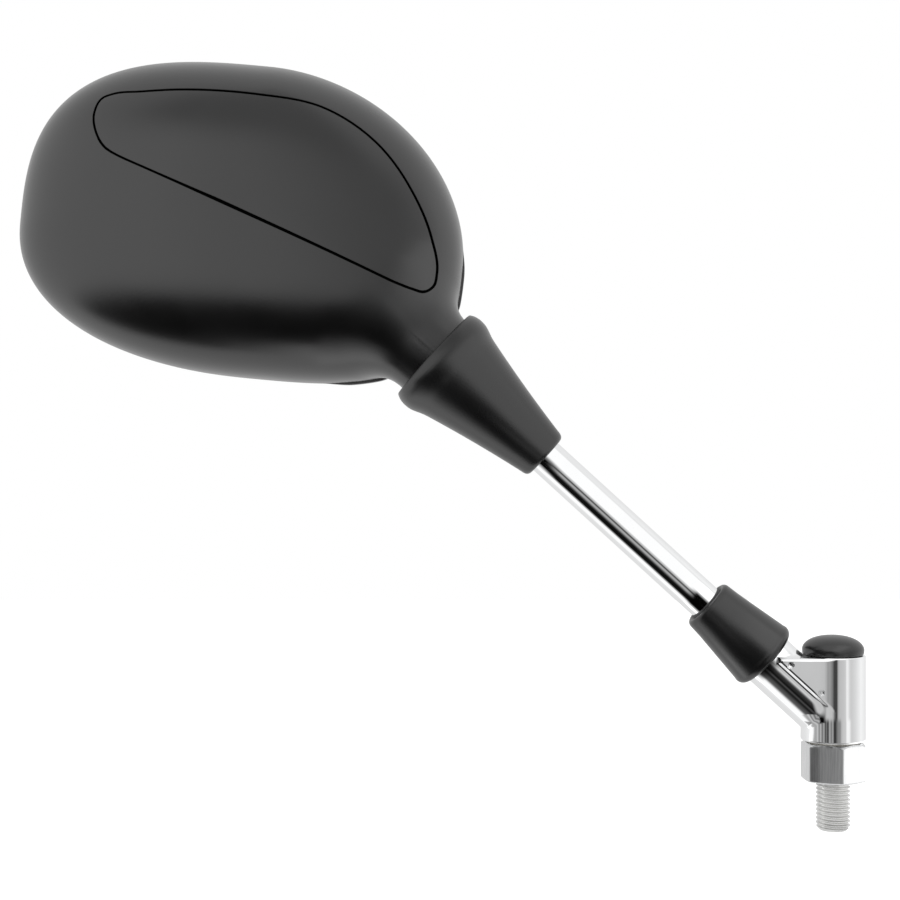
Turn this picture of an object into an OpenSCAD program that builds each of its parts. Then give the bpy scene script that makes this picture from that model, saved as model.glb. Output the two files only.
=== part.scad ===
// Right-hand motorcycle mirror on a folding arm.
// The origin is the middle of the hexagon's underside, where the stud seats. +Z runs up the stud,
// -X is where the head lies, and the glass looks along +Y.

/* [Stud] */
// Width across the flats of the hexagon
hex_flats = 17; // [16:0.5:22]
// Height of the hexagon
hex_h = 11.7; // [8:0.1:16]
// Turn of the hexagon about the stud, in degrees
hex_turn = -26; // [-30:1:30]
// Diameter of the mounting thread, left-hand
mount_thread_d = 10; // [8:0.5:12]
// Length of the mounting thread under the hexagon
mount_thread_l = 14.6; // [10:0.2:30]
// Bevel at the end of the mounting thread
thread_bevel = 1; // [0.4:0.1:2]
// Diameter of the pivot shaft inside the sleeve
pivot_d = 12; // [10:0.5:12.5]
// Diameter of the thread for the pivot nut
nut_thread_d = 8; // [6:0.5:8.5]

/* [Pivot] */
// Outside diameter of the bracket's sleeve
sleeve_d = 19; // [18.6:0.2:26]
// Height of the sleeve
sleeve_h = 25.2; // [24:0.2:34]
// Wall of the bronze bush
bush_wall = 1.15; // [0.8:0.05:1.6]
// Thickness of the friction washer on the hexagon
friction_h = 1; // [0.6:0.1:2]
// Gap between the sleeve and the hexagon
sleeve_gap = 0.3; // [0.2:0.1:0.5]
// Depth of the counterbore for the pivot nut
counterbore_h = 11.2; // [10.6:0.1:13]
// Wall of the sleeve round the counterbore
counterbore_wall = 1.3; // [1.1:0.1:1.4]
// Thickness of the flat washer
flat_washer_h = 1.6; // [1:0.1:2]
// Thickness of the spring washer
spring_washer_h = 1.8; // [1:0.1:2]
// Width across the flats of the pivot nut
pivot_nut_flats = 13; // [11:0.5:13]
// Height of the pivot nut
pivot_nut_h = 5; // [4:0.1:5]
// Height of the cap's dome above the sleeve
cap_h = 5.8; // [4:0.1:9]
// Diameter of the cap
cap_d = 18.1; // [17.8:0.1:18.5]

/* [Arm] */
// Lean of the stem above level, in degrees
stem_lean = 42.4; // [38:0.2:50]
// Height above the sleeve's foot where the stem's axis crosses the stud's
cross_h = 6.1; // [5:0.1:8]
// Diameter of the bracket's arm
arm_d = 16.4; // [15.6:0.2:18]
// Length of the bracket's arm from the crossing
arm_l = 36; // [33:0.5:38]
// Solid length of the arm before its threaded hole
arm_solid_l = 16; // [15:0.5:20]
// Thickness of the web between the sleeve and the arm
web_t = 17.6; // [17:0.1:18]
// Distance of the web's lower edge above the arm's axis
web_rise = 2; // [1:0.2:3]
// Reach of the web's top edge from the stud's axis
web_reach = 15.2; // [12:0.2:16]
// Radius of the web's top edges
web_round = 2; // [1:0.2:3]
// Diameter of the two dimples on the web
dimple_d = 2; // [1:0.1:3]

/* [Stem] */
// Outside diameter of the stem
stem_d = 10.8; // [10.2:0.1:12]
// Bore of the stem
stem_bore_d = 8; // [6:0.1:8.4]
// Diameter of the stem's thread in the arm
stem_thread_d = 10; // [9:0.1:10]
// Height of the lock nut on the stem's thread
lock_nut_h = 5; // [4:0.1:6]
// Width across the flats of the lock nut
lock_nut_flats = 14; // [13.5:0.1:14.2]
// Distance from the crossing to the centre of the ball
ball_s = 160; // [140:1:200]
// Diameter of the ball
ball_d = 15; // [14:0.2:15.4]
// Diameter of the shank behind the ball
shank_d = 6.8; // [5:0.1:7]
// Length of the shank from the centre of the ball
shank_l = 14; // [13:0.5:18]
// Length of the ball stud's plug inside the stem
plug_l = 18; // [8:1:30]

/* [Boots] */
// Length of the arm that the small boot covers
small_boot_grip = 9.3; // [6:0.1:12]
// Length of the small boot
small_boot_l = 24.3; // [20:0.1:30]
// Diameter of the small boot at its foot
small_boot_foot_d = 21.5; // [20.6:0.1:24]
// Diameter of the small boot at its top
small_boot_top_d = 16.3; // [15:0.1:18]
// Length of the head's boot
head_boot_l = 44.8; // [40:0.5:50]
// Diameter of the head's boot where it grips the stem
head_boot_top_d = 16.2; // [14.4:0.1:18]
// Diameter of the head's boot at its lip
head_boot_lip_d = 33.8; // [33:0.1:36]
// Thickness of the boots where they grip the stem
boot_wall = 1.8; // [1:0.1:2]
// Gap between a boot and what it fits over
boot_gap = 0.1; // [0.05:0.01:0.2]

/* [Ball joint] */
// Thickness of the nylon seats
seat_wall = 1.6; // [1:0.1:1.8]
// Running gap between the ball, the seats and the socket
ball_gap = 0.1; // [0.05:0.01:0.15]
// Wall of the socket
socket_wall = 1.6; // [1.2:0.1:2]
// Height of the pair of disc springs
disc_springs_h = 3; // [2:0.1:4]
// Height of the adjusting plug
adjuster_h = 4; // [3:0.1:5]
// Thickness of the retaining ring
ring_h = 1.2; // [0.8:0.1:1.6]

/* [Housing] */
// Distance from the head's outline to the ball, along the neck
neck_stand = 1.46; // [1:0.01:6]
// Place of the outline's middle beside the pole
outline_x = 1.6; // [-4:0.5:4]
// Place of the outline's middle above the pole
outline_z = -17.4; // [-18:0.5:-14]
// Tilt of the outline, in degrees
outline_tilt = -5.5; // [-8:0.1:-3]
// Outline's reach to the left of its middle
reach_left = 71.4; // [66:0.2:80]
// Outline's reach to the right of its middle
reach_right = 62.5; // [60:0.2:68]
// Outline's reach above its middle
reach_up = 53.9; // [50:0.2:60]
// Outline's reach below its middle
reach_down = 39.5; // [37:0.2:43]
// Depth of the housing from its rim to its pole
housing_depth = 37; // [34:0.5:44]
// Place of the rim in front of the stem's axis
rim_y = 13; // [12.6:0.1:13.4]
// Fullness of the housing's section, where 2 is an ellipse
fullness = 2.4; // [2.1:0.05:3]
// Wall of the housing at its rim
wall = 2.4; // [1.8:0.1:2.6]
// Diameter of the housing's neck
neck_d = 27.2; // [27:0.1:28]
// Wall of the tube that holds the socket
tube_wall = 1.9; // [1.6:0.1:2]
// Distance from the ball back to the neck's shoulder
shoulder_s = 2.5; // [2:0.1:3.5]
// Size of the hollow blend between the housing and its neck
blend_r = 7; // [4:0.5:8]

/* [Panel] */
// Thickness of the inset panel
panel_t = 1.9; // [1.4:0.1:2.2]
// Width of the groove round the inset panel
groove_w = 0.9; // [0.5:0.1:1.4]

/* [Glass] */
// Width of the bezel's front edge over the glass
bezel_lip = 1.5; // [1:0.1:2.5]
// Depth of the bezel in front of the rim
bezel_depth = 7.2; // [6.8:0.1:9]
// Gap between the rim and the bezel
rim_gap = 0.2; // [0.1:0.05:0.3]
// Thickness of the mirror glass
glass_t = 2.4; // [1.8:0.1:2.6]
// Thickness of the foam pad behind the glass
pad_t = 0.8; // [0.5:0.1:1]
// Thickness of the glass carrier
carrier_t = 1.8; // [1.5:0.1:2]

/* [Hidden] */

$fn = 64;
fit = 0.05;
over = 1;
chrome = [0.86, 0.87, 0.88];
zinc = [0.68, 0.69, 0.7];
rubber = [0.13, 0.13, 0.13];
plastic = [0.2, 0.2, 0.2];
nylon = [0.88, 0.86, 0.8];
bronze = [0.7, 0.55, 0.3];

sleeve_foot = hex_h + sleeve_gap;
sleeve_top = sleeve_foot + sleeve_h;
counterbore_z = sleeve_top - counterbore_h;
counterbore_d = sleeve_d - 2 * counterbore_wall;
friction_top = hex_h + friction_h;
bush_d = pivot_d + 2 * (fit + bush_wall);
washer_d = counterbore_d - 0.6;
spring_washer_z = counterbore_z + flat_washer_h;
pivot_nut_z = spring_washer_z + spring_washer_h;
nut_thread_top = pivot_nut_z + pivot_nut_h + 0.8;
cross_z = sleeve_foot + cross_h;

lock_nut_s = arm_l + 0.2;
stem_shoulder_s = lock_nut_s + lock_nut_h + 0.2;
stem_end_s = ball_s - shank_l;
small_boot_s = arm_l - small_boot_grip;

seat_in_r = ball_d / 2 + ball_gap;
seat_out_r = seat_in_r + seat_wall;
socket_in_r = seat_out_r + ball_gap;
socket_out_r = socket_in_r + socket_wall;
tube_in_r = socket_out_r + ball_gap;
tube_out_r = tube_in_r + tube_wall;
tube_foot = -9;
tube_lip = 1;
tool_room = 12;
socket_foot = tube_foot + tube_lip;
lower_seat_top = -1.6;
upper_seat_foot = 2.4;
upper_seat_top = seat_in_r + 2.4;
springs_foot = upper_seat_top + fit;
adjuster_foot = springs_foot + disc_springs_h + fit;
socket_top = adjuster_foot + adjuster_h + 0.5;
ring_foot = socket_top + fit;
tube_top = ring_foot + ring_h + 2;
ring_groove_r = tube_in_r + 0.8;

neck_r = neck_d / 2;
pole_y = rim_y - housing_depth;
neck_angle = -stem_lean;
around = 84;
side_levels = 12;
dome_levels = 8;
round_up_left = 2.88;
round_up_right = 1.93;
round_low_left = 2.22;
round_low_right = 3.11;
groove_depth = panel_t + fit;
pole_l = round(100 * (outline_radius(neck_angle) + neck_stand)) / 100;
collar_l = pole_l + shoulder_s;

// Carries its children along the stem's axis, at a distance from the crossing.
module on_stem(s) {
    translate([0, 0, cross_z]) rotate([0, stem_lean - 90, 0]) translate([0, 0, s]) children();
}

// Carries its children to the ball's centre, along the stem's axis.
module at_ball() {
    on_stem(ball_s) children();
}

module tube(d_out, d_in, h) {
    difference() {
        cylinder(d = d_out, h = h);
        translate([0, 0, -over]) cylinder(d = d_in, h = h + 2 * over);
    }
}

// A hexagon bevelled at both ends, like a turned nut.
module hexagon(flats, h) {
    bevel = flats * 0.035;
    intersection() {
        cylinder(d = flats / cos(30), h = h, $fn = 6);
        union() {
            cylinder(d1 = flats - bevel, d2 = flats / cos(30) + bevel, h = h / 3);
            translate([0, 0, h / 3]) cylinder(d = flats / cos(30) + bevel, h = h / 3);
            translate([0, 0, 2 * h / 3]) cylinder(d1 = flats / cos(30) + bevel, d2 = flats - bevel, h = h / 3);
        }
    }
}

module nut(flats, thread_d, h) {
    difference() {
        hexagon(flats, h);
        translate([0, 0, -over]) cylinder(d = thread_d + 2 * fit, h = h + 2 * over);
    }
}

module mounting_stud() {
    color(chrome) {
        rotate([0, 0, hex_turn]) hexagon(hex_flats, hex_h);
        translate([0, 0, hex_h]) cylinder(d = pivot_d, h = counterbore_z - hex_h - fit);
        translate([0, 0, counterbore_z - fit])
            cylinder(d = nut_thread_d, h = nut_thread_top - counterbore_z + fit);
    }
    color(zinc) {
        translate([0, 0, thread_bevel - mount_thread_l])
            cylinder(d = mount_thread_d, h = mount_thread_l - thread_bevel + over);
        translate([0, 0, -mount_thread_l])
            cylinder(d1 = mount_thread_d - 2 * thread_bevel, d2 = mount_thread_d, h = thread_bevel);
    }
}

module friction_washer() {
    color(nylon) translate([0, 0, hex_h]) tube(bush_d + 2, pivot_d + 2 * fit, friction_h);
}

module flat_washer() {
    color(zinc) translate([0, 0, counterbore_z]) tube(washer_d, nut_thread_d + 0.4, flat_washer_h);
}

// Split ring that springs the pivot nut tight.
module spring_washer() {
    split = 1;
    color(zinc) translate([0, 0, spring_washer_z]) difference() {
        tube(washer_d - 1, nut_thread_d + 0.4, spring_washer_h);
        translate([0, -split / 2, -over]) cube([washer_d, split, spring_washer_h + 2 * over]);
    }
}

module pivot_nut() {
    color(zinc) translate([0, 0, pivot_nut_z]) nut(pivot_nut_flats, nut_thread_d, pivot_nut_h);
}

// Flat-faced web with rounded top edges, in the corner between the sleeve and the arm.
module web() {
    web_top = sleeve_top - fit;
    low_z = cross_z + web_rise / cos(stem_lean);
    outer_z = low_z + web_reach * tan(stem_lean);
    intersection() {
        rotate([90, 0, 0]) linear_extrude(height = web_t + 2, center = true)
            polygon([[0, low_z], [0, web_top], [-web_reach, web_top], [-web_reach, outer_z]]);
        rotate([90, 0, -90]) linear_extrude(height = web_reach + over) {
            translate([-web_t / 2, 0]) square([web_t, web_top - web_round]);
            translate([web_round - web_t / 2, 0]) square([web_t - 2 * web_round, web_top]);
            for (side = [-1, 1])
                translate([side * (web_t / 2 - web_round), web_top - web_round]) circle(r = web_round);
        }
    }
}

module bracket() {
    dimples = [[-14.2, 34.6], [-5, 26.4]];
    color(chrome) difference() {
        union() {
            translate([0, 0, sleeve_foot]) cylinder(d = sleeve_d, h = sleeve_h);
            on_stem(0) cylinder(d = arm_d, h = arm_l);
            web();
        }
        translate([0, 0, sleeve_foot - over]) cylinder(d = bush_d + 2 * fit, h = sleeve_h + 2 * over);
        translate([0, 0, sleeve_foot - over])
            cylinder(d = bush_d + 2.6, h = friction_h - sleeve_gap + over);
        translate([0, 0, counterbore_z]) cylinder(d = counterbore_d, h = counterbore_h + over);
        on_stem(arm_solid_l) cylinder(d = stem_thread_d + 2 * fit, h = arm_l);
        for (p = dimples, side = [-1, 1])
            translate([p.x, side * (web_t / 2 + dimple_d / 5), p.y]) sphere(d = dimple_d);
    }
}

module pivot_bush() {
    gap = 0.1;
    color(bronze) translate([0, 0, friction_top + gap])
        tube(bush_d, pivot_d + 2 * fit, counterbore_z - friction_top - 2 * gap);
}

// Rubber cap: a low dome over the sleeve with a plug in its counterbore.
module pivot_cap() {
    plug_foot = pivot_nut_z + pivot_nut_h + 0.3;
    plug_d = counterbore_d - 2 * fit;
    edge_h = 1.5;
    color(rubber) difference() {
        union() {
            translate([0, 0, plug_foot]) cylinder(d = plug_d, h = sleeve_top - plug_foot + over);
            translate([0, 0, sleeve_top + fit]) rotate_extrude() polygon(concat(
                [[0, 0], [cap_d / 2 - 0.7, 0], [cap_d / 2 - 0.15, 0.5]],
                [for (a = [0 : 9 : 90]) [cap_d / 2 * pow(cos(a), 0.9), edge_h + (cap_h - edge_h) * sin(a)]]));
        }
        translate([0, 0, plug_foot - over]) cylinder(d = nut_thread_d + 4, h = over + 1.6);
    }
}

module stem() {
    grip = 1.5;
    color(chrome) difference() {
        union() {
            on_stem(arm_solid_l + grip) cylinder(d = stem_thread_d, h = stem_shoulder_s - arm_solid_l);
            on_stem(stem_shoulder_s) cylinder(d = stem_d, h = stem_end_s - stem_shoulder_s);
        }
        on_stem(arm_solid_l) cylinder(d = stem_bore_d, h = stem_end_s);
    }
}

module stem_lock_nut() {
    color(zinc) on_stem(lock_nut_s) nut(lock_nut_flats, stem_thread_d, lock_nut_h);
}

// Small boot: a tapered sleeve over the arm's end, recessed round the stem at its top.
module stem_boot() {
    foot_r = small_boot_foot_d / 2;
    top_r = small_boot_top_d / 2;
    arm_r = arm_d / 2 + boot_gap;
    grip_r = stem_d / 2 + boot_gap;
    over_nut = stem_shoulder_s + 0.6 - small_boot_s;
    l = small_boot_l;
    color(rubber) on_stem(small_boot_s) rotate_extrude() polygon([
        [arm_r, 0], [foot_r - 1.1, 0], [foot_r - 0.3, 0.5], [foot_r, 1.5], [foot_r - 0.1, 2.6],
        [top_r + 0.5, l - 5.5], [top_r + 0.15, l - 3], [top_r - 0.1, l - 1.5], [top_r - 0.6, l - 0.4],
        [top_r - 1.1, l], [top_r - 1.5, l - 0.3], [grip_r + 0.2, l - 2], [grip_r, l - 2.4],
        [grip_r, over_nut + 2.2], [arm_r, over_nut]]);
}

module ball_stud() {
    color(zinc) {
        at_ball() sphere(d = ball_d);
        on_stem(stem_end_s - fit) cylinder(d = shank_d, h = shank_l);
        on_stem(stem_end_s - plug_l) cylinder(d = stem_bore_d - 2 * fit, h = plug_l);
    }
}

// Nylon ring under the ball, a zone of a sphere on both faces.
module lower_ball_seat() {
    hole_r = 5.2;
    color(nylon) at_ball() difference() {
        sphere(r = seat_out_r);
        sphere(r = seat_in_r);
        translate([0, 0, lower_seat_top]) cylinder(r = seat_out_r + over, h = 2 * seat_out_r);
        translate([0, 0, -seat_out_r - over]) cylinder(r = hole_r, h = seat_out_r);
    }
}

// Nylon cup over the ball, which slides in the socket under the springs.
module upper_ball_seat() {
    color(nylon) at_ball() difference() {
        translate([0, 0, upper_seat_foot]) cylinder(r = seat_out_r, h = upper_seat_top - upper_seat_foot);
        sphere(r = seat_in_r);
    }
}

// Cartridge with a spherical foot, open to the stem.
module ball_socket() {
    mouth_r = socket_in_r * cos(45);
    color(zinc) at_ball() difference() {
        translate([0, 0, socket_foot + fit]) cylinder(r = socket_out_r, h = socket_top - socket_foot - fit);
        sphere(r = socket_in_r);
        cylinder(r = socket_in_r, h = socket_top + over);
        translate([0, 0, socket_foot - over])
            cylinder(r1 = mouth_r + over, r2 = mouth_r, h = over - socket_foot - mouth_r);
        translate([0, 0, -mouth_r - 0.01]) cylinder(r = mouth_r, h = mouth_r);
    }
}

// Two disc springs, stacked rim to rim.
module disc_springs() {
    half = disc_springs_h / 2;
    in_r = 4.2;
    out_r = socket_in_r - 0.6;
    leaf = 0.7;
    color(zinc) at_ball() translate([0, 0, springs_foot]) rotate_extrude() {
        polygon([[in_r, 0], [in_r, leaf], [out_r, half], [out_r, half - leaf]]);
        polygon([[in_r, 2 * half - leaf], [in_r, 2 * half], [out_r, half + leaf], [out_r, half]]);
    }
}

module adjusting_plug() {
    key_flats = 6;
    color(zinc) at_ball() translate([0, 0, adjuster_foot]) difference() {
        cylinder(r = socket_in_r - fit, h = adjuster_h);
        translate([0, 0, adjuster_h / 3]) cylinder(d = key_flats / cos(30), h = adjuster_h, $fn = 6);
    }
}

// Split ring in the tube's groove, which holds the socket in.
module retaining_ring() {
    in_r = socket_out_r - 1.8;
    opening = 5;
    color(zinc) at_ball() translate([0, 0, ring_foot]) difference() {
        cylinder(r = ring_groove_r - fit, h = ring_h);
        translate([0, 0, -over]) cylinder(r = in_r, h = ring_h + 2 * over);
        translate([0, -opening / 2, -over]) cube([ring_groove_r, opening, ring_h + 2 * over]);
    }
}

// Outline of the head: four quarters of superellipses, as a measure that is 1 on the outline.
function outline_measure(p) =
    let (d = p - [outline_x, outline_z],
        u = d.x * cos(outline_tilt) + d.y * sin(outline_tilt),
        v = d.y * cos(outline_tilt) - d.x * sin(outline_tilt),
        a = u < 0 ? reach_left : reach_right,
        b = v < 0 ? reach_down : reach_up,
        n = v < 0 ? (u < 0 ? round_low_left : round_low_right) : (u < 0 ? round_up_left : round_up_right))
    pow(pow(abs(u / a), n) + pow(abs(v / b), n), 1 / n);

// Radius of the outline from the pole, found by halving.
function outline_radius(angle, low = 10, high = 160, steps = 24) =
    let (mid = (low + high) / 2)
    steps == 0 ? mid
    : outline_measure(mid * [cos(angle), sin(angle)]) < 1 ? outline_radius(angle, mid, high, steps - 1)
    : outline_radius(angle, low, mid, steps - 1);

// Bearings from the pole, closest together at the neck.
bearings = [for (i = [0 : around - 1]) let (t = 2 * i / around - 1)
    neck_angle + 180 * (0.3 * t + 0.7 * t * abs(t))];
outline = [for (a = bearings) outline_radius(a)];
pole = [-(ball_s + pole_l) * cos(stem_lean), cross_z + (ball_s + pole_l) * sin(stem_lean)];

// Share of the outline that the housing spans at a depth.
function span_at(y, depth) = pow(max(0, 1 - pow(max(0, rim_y - y) / depth, fullness)), 1 / fullness);

// Depth at which the housing spans a share of the outline.
function depth_at(f, depth) = rim_y - depth * pow(1 - pow(f, fullness), 1 / fullness);

// Distance outwards from the housing's plain form, without its neck.
function form_distance(i, r, y) =
    let (f = r / outline[i], t = max(0, rim_y - y) / housing_depth, n = fullness,
        g = pow(pow(f, n) + pow(t, n), 1 / n))
    (g - 1) * pow(g, n - 1) / norm([pow(f, n - 1) / outline[i], pow(t, n - 1) / housing_depth]);

// Distance outwards from the neck, a round bar from the pole to the shoulder.
function neck_distance(i, r, y) =
    let (turn = abs(bearings[i] - neck_angle)) norm([r * sin(min(turn, 90)), y]) - neck_r;

// Distance outwards from the two joined by a hollow blend.
function joined_distance(i, r, y) =
    let (a = form_distance(i, r, y), b = neck_distance(i, r, y), h = max(0, 1 - abs(a - b) / blend_r))
    min(a, b) - h * h * blend_r / 4;

// Radius of the housing's outside from the pole, found by halving and cut off at the shoulder.
function outside_radius(i, y) =
    let (turn = abs(bearings[i] - neck_angle))
    halved(i, y, 0, turn > 80 ? 2 * outline[i] : collar_l / cos(turn));
function halved(i, y, low, high, steps = 22) =
    let (mid = (low + high) / 2)
    steps == 0 ? high
    : joined_distance(i, mid, y) < 0 ? halved(i, y, mid, high, steps - 1)
    : halved(i, y, low, mid, steps - 1);

function head_point(i, r, y) = [pole.x + r * cos(bearings[i]), y, pole.y + r * sin(bearings[i])];

// A closed solid over rings of equal counts, from its first ring's flat middle to its tip.
module dome(rings, first_y, tip_y) {
    n = len(rings[0]);
    m = len(rings);
    points = concat([for (ring = rings) each ring], [[pole.x, first_y, pole.y], [pole.x, tip_y, pole.y]]);
    faces = concat(
        [for (i = [0 : n - 1]) [n * m, i, (i + 1) % n]],
        [for (k = [0 : m - 2], i = [0 : n - 1]) each
            let (a = k * n + i, b = k * n + (i + 1) % n) [[a, a + n, b], [b, a + n, b + n]]],
        [for (i = [0 : n - 1]) [n * m + 1, (m - 1) * n + (i + 1) % n, (m - 1) * n + i]]);
    polyhedron(points = points, faces = faces);
}

// Depths for the rings of the outside: close together round the neck, then even steps to the pole.
lean_in = asin(-rim_y / neck_r);
neck_ys = [for (k = [0 : side_levels]) -neck_r * sin(lean_in + (90 - lean_in) * k / side_levels)];
crest_span = span_at(-neck_r, housing_depth);
dome_ys = [for (k = [1 : dome_levels - 1]) depth_at(crest_span * (1 - k / dome_levels), housing_depth)];

module outside() {
    dome([for (y = concat(neck_ys, dome_ys)) [for (i = [0 : around - 1]) head_point(i, outside_radius(i, y), y)]],
        rim_y, pole_y);
}

// The housing's form set in by a depth, without the neck, for the floor under the panel.
module inner_form(inset) {
    depth = housing_depth - inset;
    shrink = 1 - inset / 70;
    levels = 10;
    dome([for (k = [0 : levels - 1]) let (f = cos(90 * k / levels), y = depth_at(f, depth))
            [for (i = [0 : 2 : around - 1]) head_point(i, f * shrink * outline[i], y)]],
        rim_y, rim_y - depth);
}

// The hollow behind the glass, open at the rim, with a straight stretch there for the bezel's tongue.
module cavity() {
    depth = housing_depth - wall - groove_depth;
    levels = 7;
    straight_y = rim_y - tongue_l - 1;
    floor_rings = [for (k = [1 : levels - 1]) let (f = cos(90 * k / levels), y = depth_at(f, depth))
        [for (i = [0 : around - 1])
            head_point(i, max(1, f * outline[i] - wall - groove_depth * min(1, (rim_y - y) / 12)), y)]];
    mouth = [for (y = [rim_y + over, straight_y])
        [for (i = [0 : around - 1]) head_point(i, span_at(y, depth) * outline[i] - wall, y)]];
    dome(concat(mouth, floor_rings), rim_y + over, rim_y - depth);
}

// Corners of the inset panel beside the pole. The last joins the first by the straight lower edge.
panel_corners = [[-34, 4.8], [-38.6, 7.9], [-41.6, 12.6], [-42.5, 18.5], [-40.6, 22.8], [-36.5, 24.5],
    [-18, 24.9], [5, 23.2], [24, 19.6], [38.8, 10.3], [49.4, -4.2], [55, -16.5], [56.8, -27],
    [55.6, -31], [52.4, -32.8], [48.6, -31.9], [43.2, -29.6]];

// Direction of a closed curve at corner i, led by the shorter of its two sides.
function direction_at(p, i) =
    let (n = len(p), before = p[i] - p[(i + n - 1) % n], after = p[(i + 1) % n] - p[i],
        sum = before * norm(after) / norm(before) + after * norm(before) / norm(after))
    sum / norm(sum);

// The curve through all corners, apart from the straight last side.
function smooth_curve(p, steps) = [for (i = [0 : len(p) - 2], k = [0 : steps - 1])
    let (t = k / steps, b = p[i], c = p[i + 1], l = norm(c - b),
        leave = l * direction_at(p, i), arrive = l * direction_at(p, i + 1))
    (2 * t * t * t - 3 * t * t + 1) * b + (t * t * t - 2 * t * t + t) * leave
        + (3 * t * t - 2 * t * t * t) * c + (t * t * t - t * t) * arrive];

// The curve moved inwards by a distance.
function inset_curve(p, by) = let (n = len(p)) [for (i = [0 : n - 1])
    let (t = p[(i + 1) % n] - p[(i + n - 1) % n]) p[i] + by * [t.y, -t.x] / norm(t)];

panel_outline = concat(smooth_curve(panel_corners, 3), [panel_corners[len(panel_corners) - 1]]);

// A straight block behind the panel's outline, from below the pole to past the panel's lowest edge.
module panel_block(inset) {
    foot_y = 2;
    translate([pole.x, foot_y, pole.y]) rotate([90, 0, 0]) linear_extrude(height = foot_y - pole_y + 6)
        polygon(inset_curve(panel_outline, inset));
}

module housing_shell() {
    color(plastic) difference() {
        union() {
            difference() {
                outside();
                cavity();
                difference() {
                    panel_block(0);
                    inner_form(groove_depth);
                }
            }
            at_ball() translate([0, 0, tube_foot]) cylinder(r = tube_out_r, h = tube_top - tube_foot);
        }
        at_ball() {
            translate([0, 0, tube_foot - over]) cylinder(r = tube_in_r - tube_lip, h = tube_lip + 2 * over);
            translate([0, 0, socket_foot]) cylinder(r = tube_in_r, h = tube_top - socket_foot + tool_room);
            translate([0, 0, ring_foot - fit]) cylinder(r = ring_groove_r, h = ring_h + 2 * fit);
        }
    }
}

module inset_panel() {
    color(plastic) difference() {
        intersection() {
            outside();
            panel_block(groove_w);
        }
        inner_form(panel_t);
    }
}

// A closed ring round the head with a section of [inset, y] corners.
module rim_ring(section) {
    n = around;
    m = len(section);
    points = [for (c = section, i = [0 : n - 1]) head_point(i, outline[i] - c.x, c.y)];
    faces = [for (k = [0 : m - 1], i = [0 : n - 1]) each
        let (a = k * n + i, b = k * n + (i + 1) % n, c = ((k + 1) % m) * n + i, d = ((k + 1) % m) * n + (i + 1) % n)
        [[a, b, c], [b, d, c]]];
    polyhedron(points = points, faces = faces);
}

glass_top_y = rim_y + bezel_depth - bezel_lip;
glass_y = glass_top_y - glass_t;
pad_y = glass_y - pad_t;
carrier_y = pad_y - carrier_t;
glass_inset = wall + 1.1;
tongue_l = 3.6;
tongue_inset = wall + 0.6;

// Outer wall, rounded front edge, lip over the glass, seat under the carrier and tongue in the rim,
// which is cut away round the socket tube.
module front_bezel() {
    front = rim_y + bezel_depth;
    foot = rim_y + rim_gap;
    in = glass_inset - 0.3;
    tongue_in = in + 1.1;
    tube_clearance = 0.25;
    color(plastic) difference() {
        rim_ring([[0, foot], [0, front - 3.6], [0.6, front - 1.4], [2, front],
            [in + 1.4, front], [in + 1.4, glass_top_y + fit], [in, glass_top_y + fit], [in, carrier_y - fit],
            [tongue_in, carrier_y - fit], [tongue_in, rim_y - tongue_l], [tongue_inset, rim_y - tongue_l],
            [tongue_inset, foot]]);
        at_ball() cylinder(r = tube_out_r + tube_clearance, h = tube_top + over);
    }
}

// A flat plate inside the bezel, from y to y + t.
module head_plate(y, t, inset) {
    translate([pole.x, y + t, pole.y]) rotate([90, 0, 0]) linear_extrude(height = t)
        polygon([for (i = [0 : around - 1]) (outline[i] - inset) * [cos(bearings[i]), sin(bearings[i])]]);
}

module glass_carrier() {
    color(plastic) head_plate(carrier_y, carrier_t, glass_inset);
}

module glass_pad() {
    color([0.25, 0.25, 0.25]) head_plate(pad_y, pad_t, glass_inset + 4);
}

module mirror_glass() {
    color([0.75, 0.8, 0.84]) head_plate(glass_y, glass_t, glass_inset);
}

// Head boot: grips the stem, widens in a hollow curve and ends in a round lip over the shoulder.
module head_boot() {
    l = head_boot_l;
    ball_past = -0.3;
    top_r = head_boot_top_d / 2;
    lip_r = head_boot_lip_d / 2;
    grip_r = stem_d / 2 + boot_gap;
    spigot_r = tube_out_r + boot_gap;
    waist_r = lip_r - 1.6;
    foot_h = 2.4;
    lip_h = 9;
    mouth_z = l + ball_past - shoulder_s;
    sides = [for (k = [0 : 6]) let (t = k / 6)
        [top_r + (waist_r - top_r) * (0.82 * t + 0.18 * t * t), foot_h + (l - foot_h - lip_h) * t]];
    inside = [for (k = [6 : -1 : 1]) sides[k] - [boot_wall * 1.15, 0]];
    color(rubber) on_stem(ball_s - ball_past - l) rotate_extrude() polygon(concat(
        [[grip_r, 0], [top_r - 1.7, 0], [top_r - 0.9, 0.3], [top_r - 0.25, 1.1]], sides,
        [[lip_r - 0.45, l - 6.6], [lip_r, l - 4.2], [lip_r - 0.3, l - 2], [lip_r - 1.1, l - 0.5],
        [lip_r - 1.3, l], [neck_r + 1.85, l], [neck_r + 0.9, mouth_z - 0.3],
        [spigot_r, mouth_z - 0.4], [spigot_r, l + ball_past + tube_foot - 0.4]],
        inside, [[grip_r, 5.5]]));
}

mounting_stud();
friction_washer();
flat_washer();
spring_washer();
pivot_nut();
bracket();
pivot_bush();
pivot_cap();
stem();
stem_lock_nut();
stem_boot();
ball_stud();
lower_ball_seat();
upper_ball_seat();
ball_socket();
disc_springs();
adjusting_plug();
retaining_ring();
housing_shell();
inset_panel();
front_bezel();
glass_carrier();
glass_pad();
mirror_glass();
head_boot();
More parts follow.
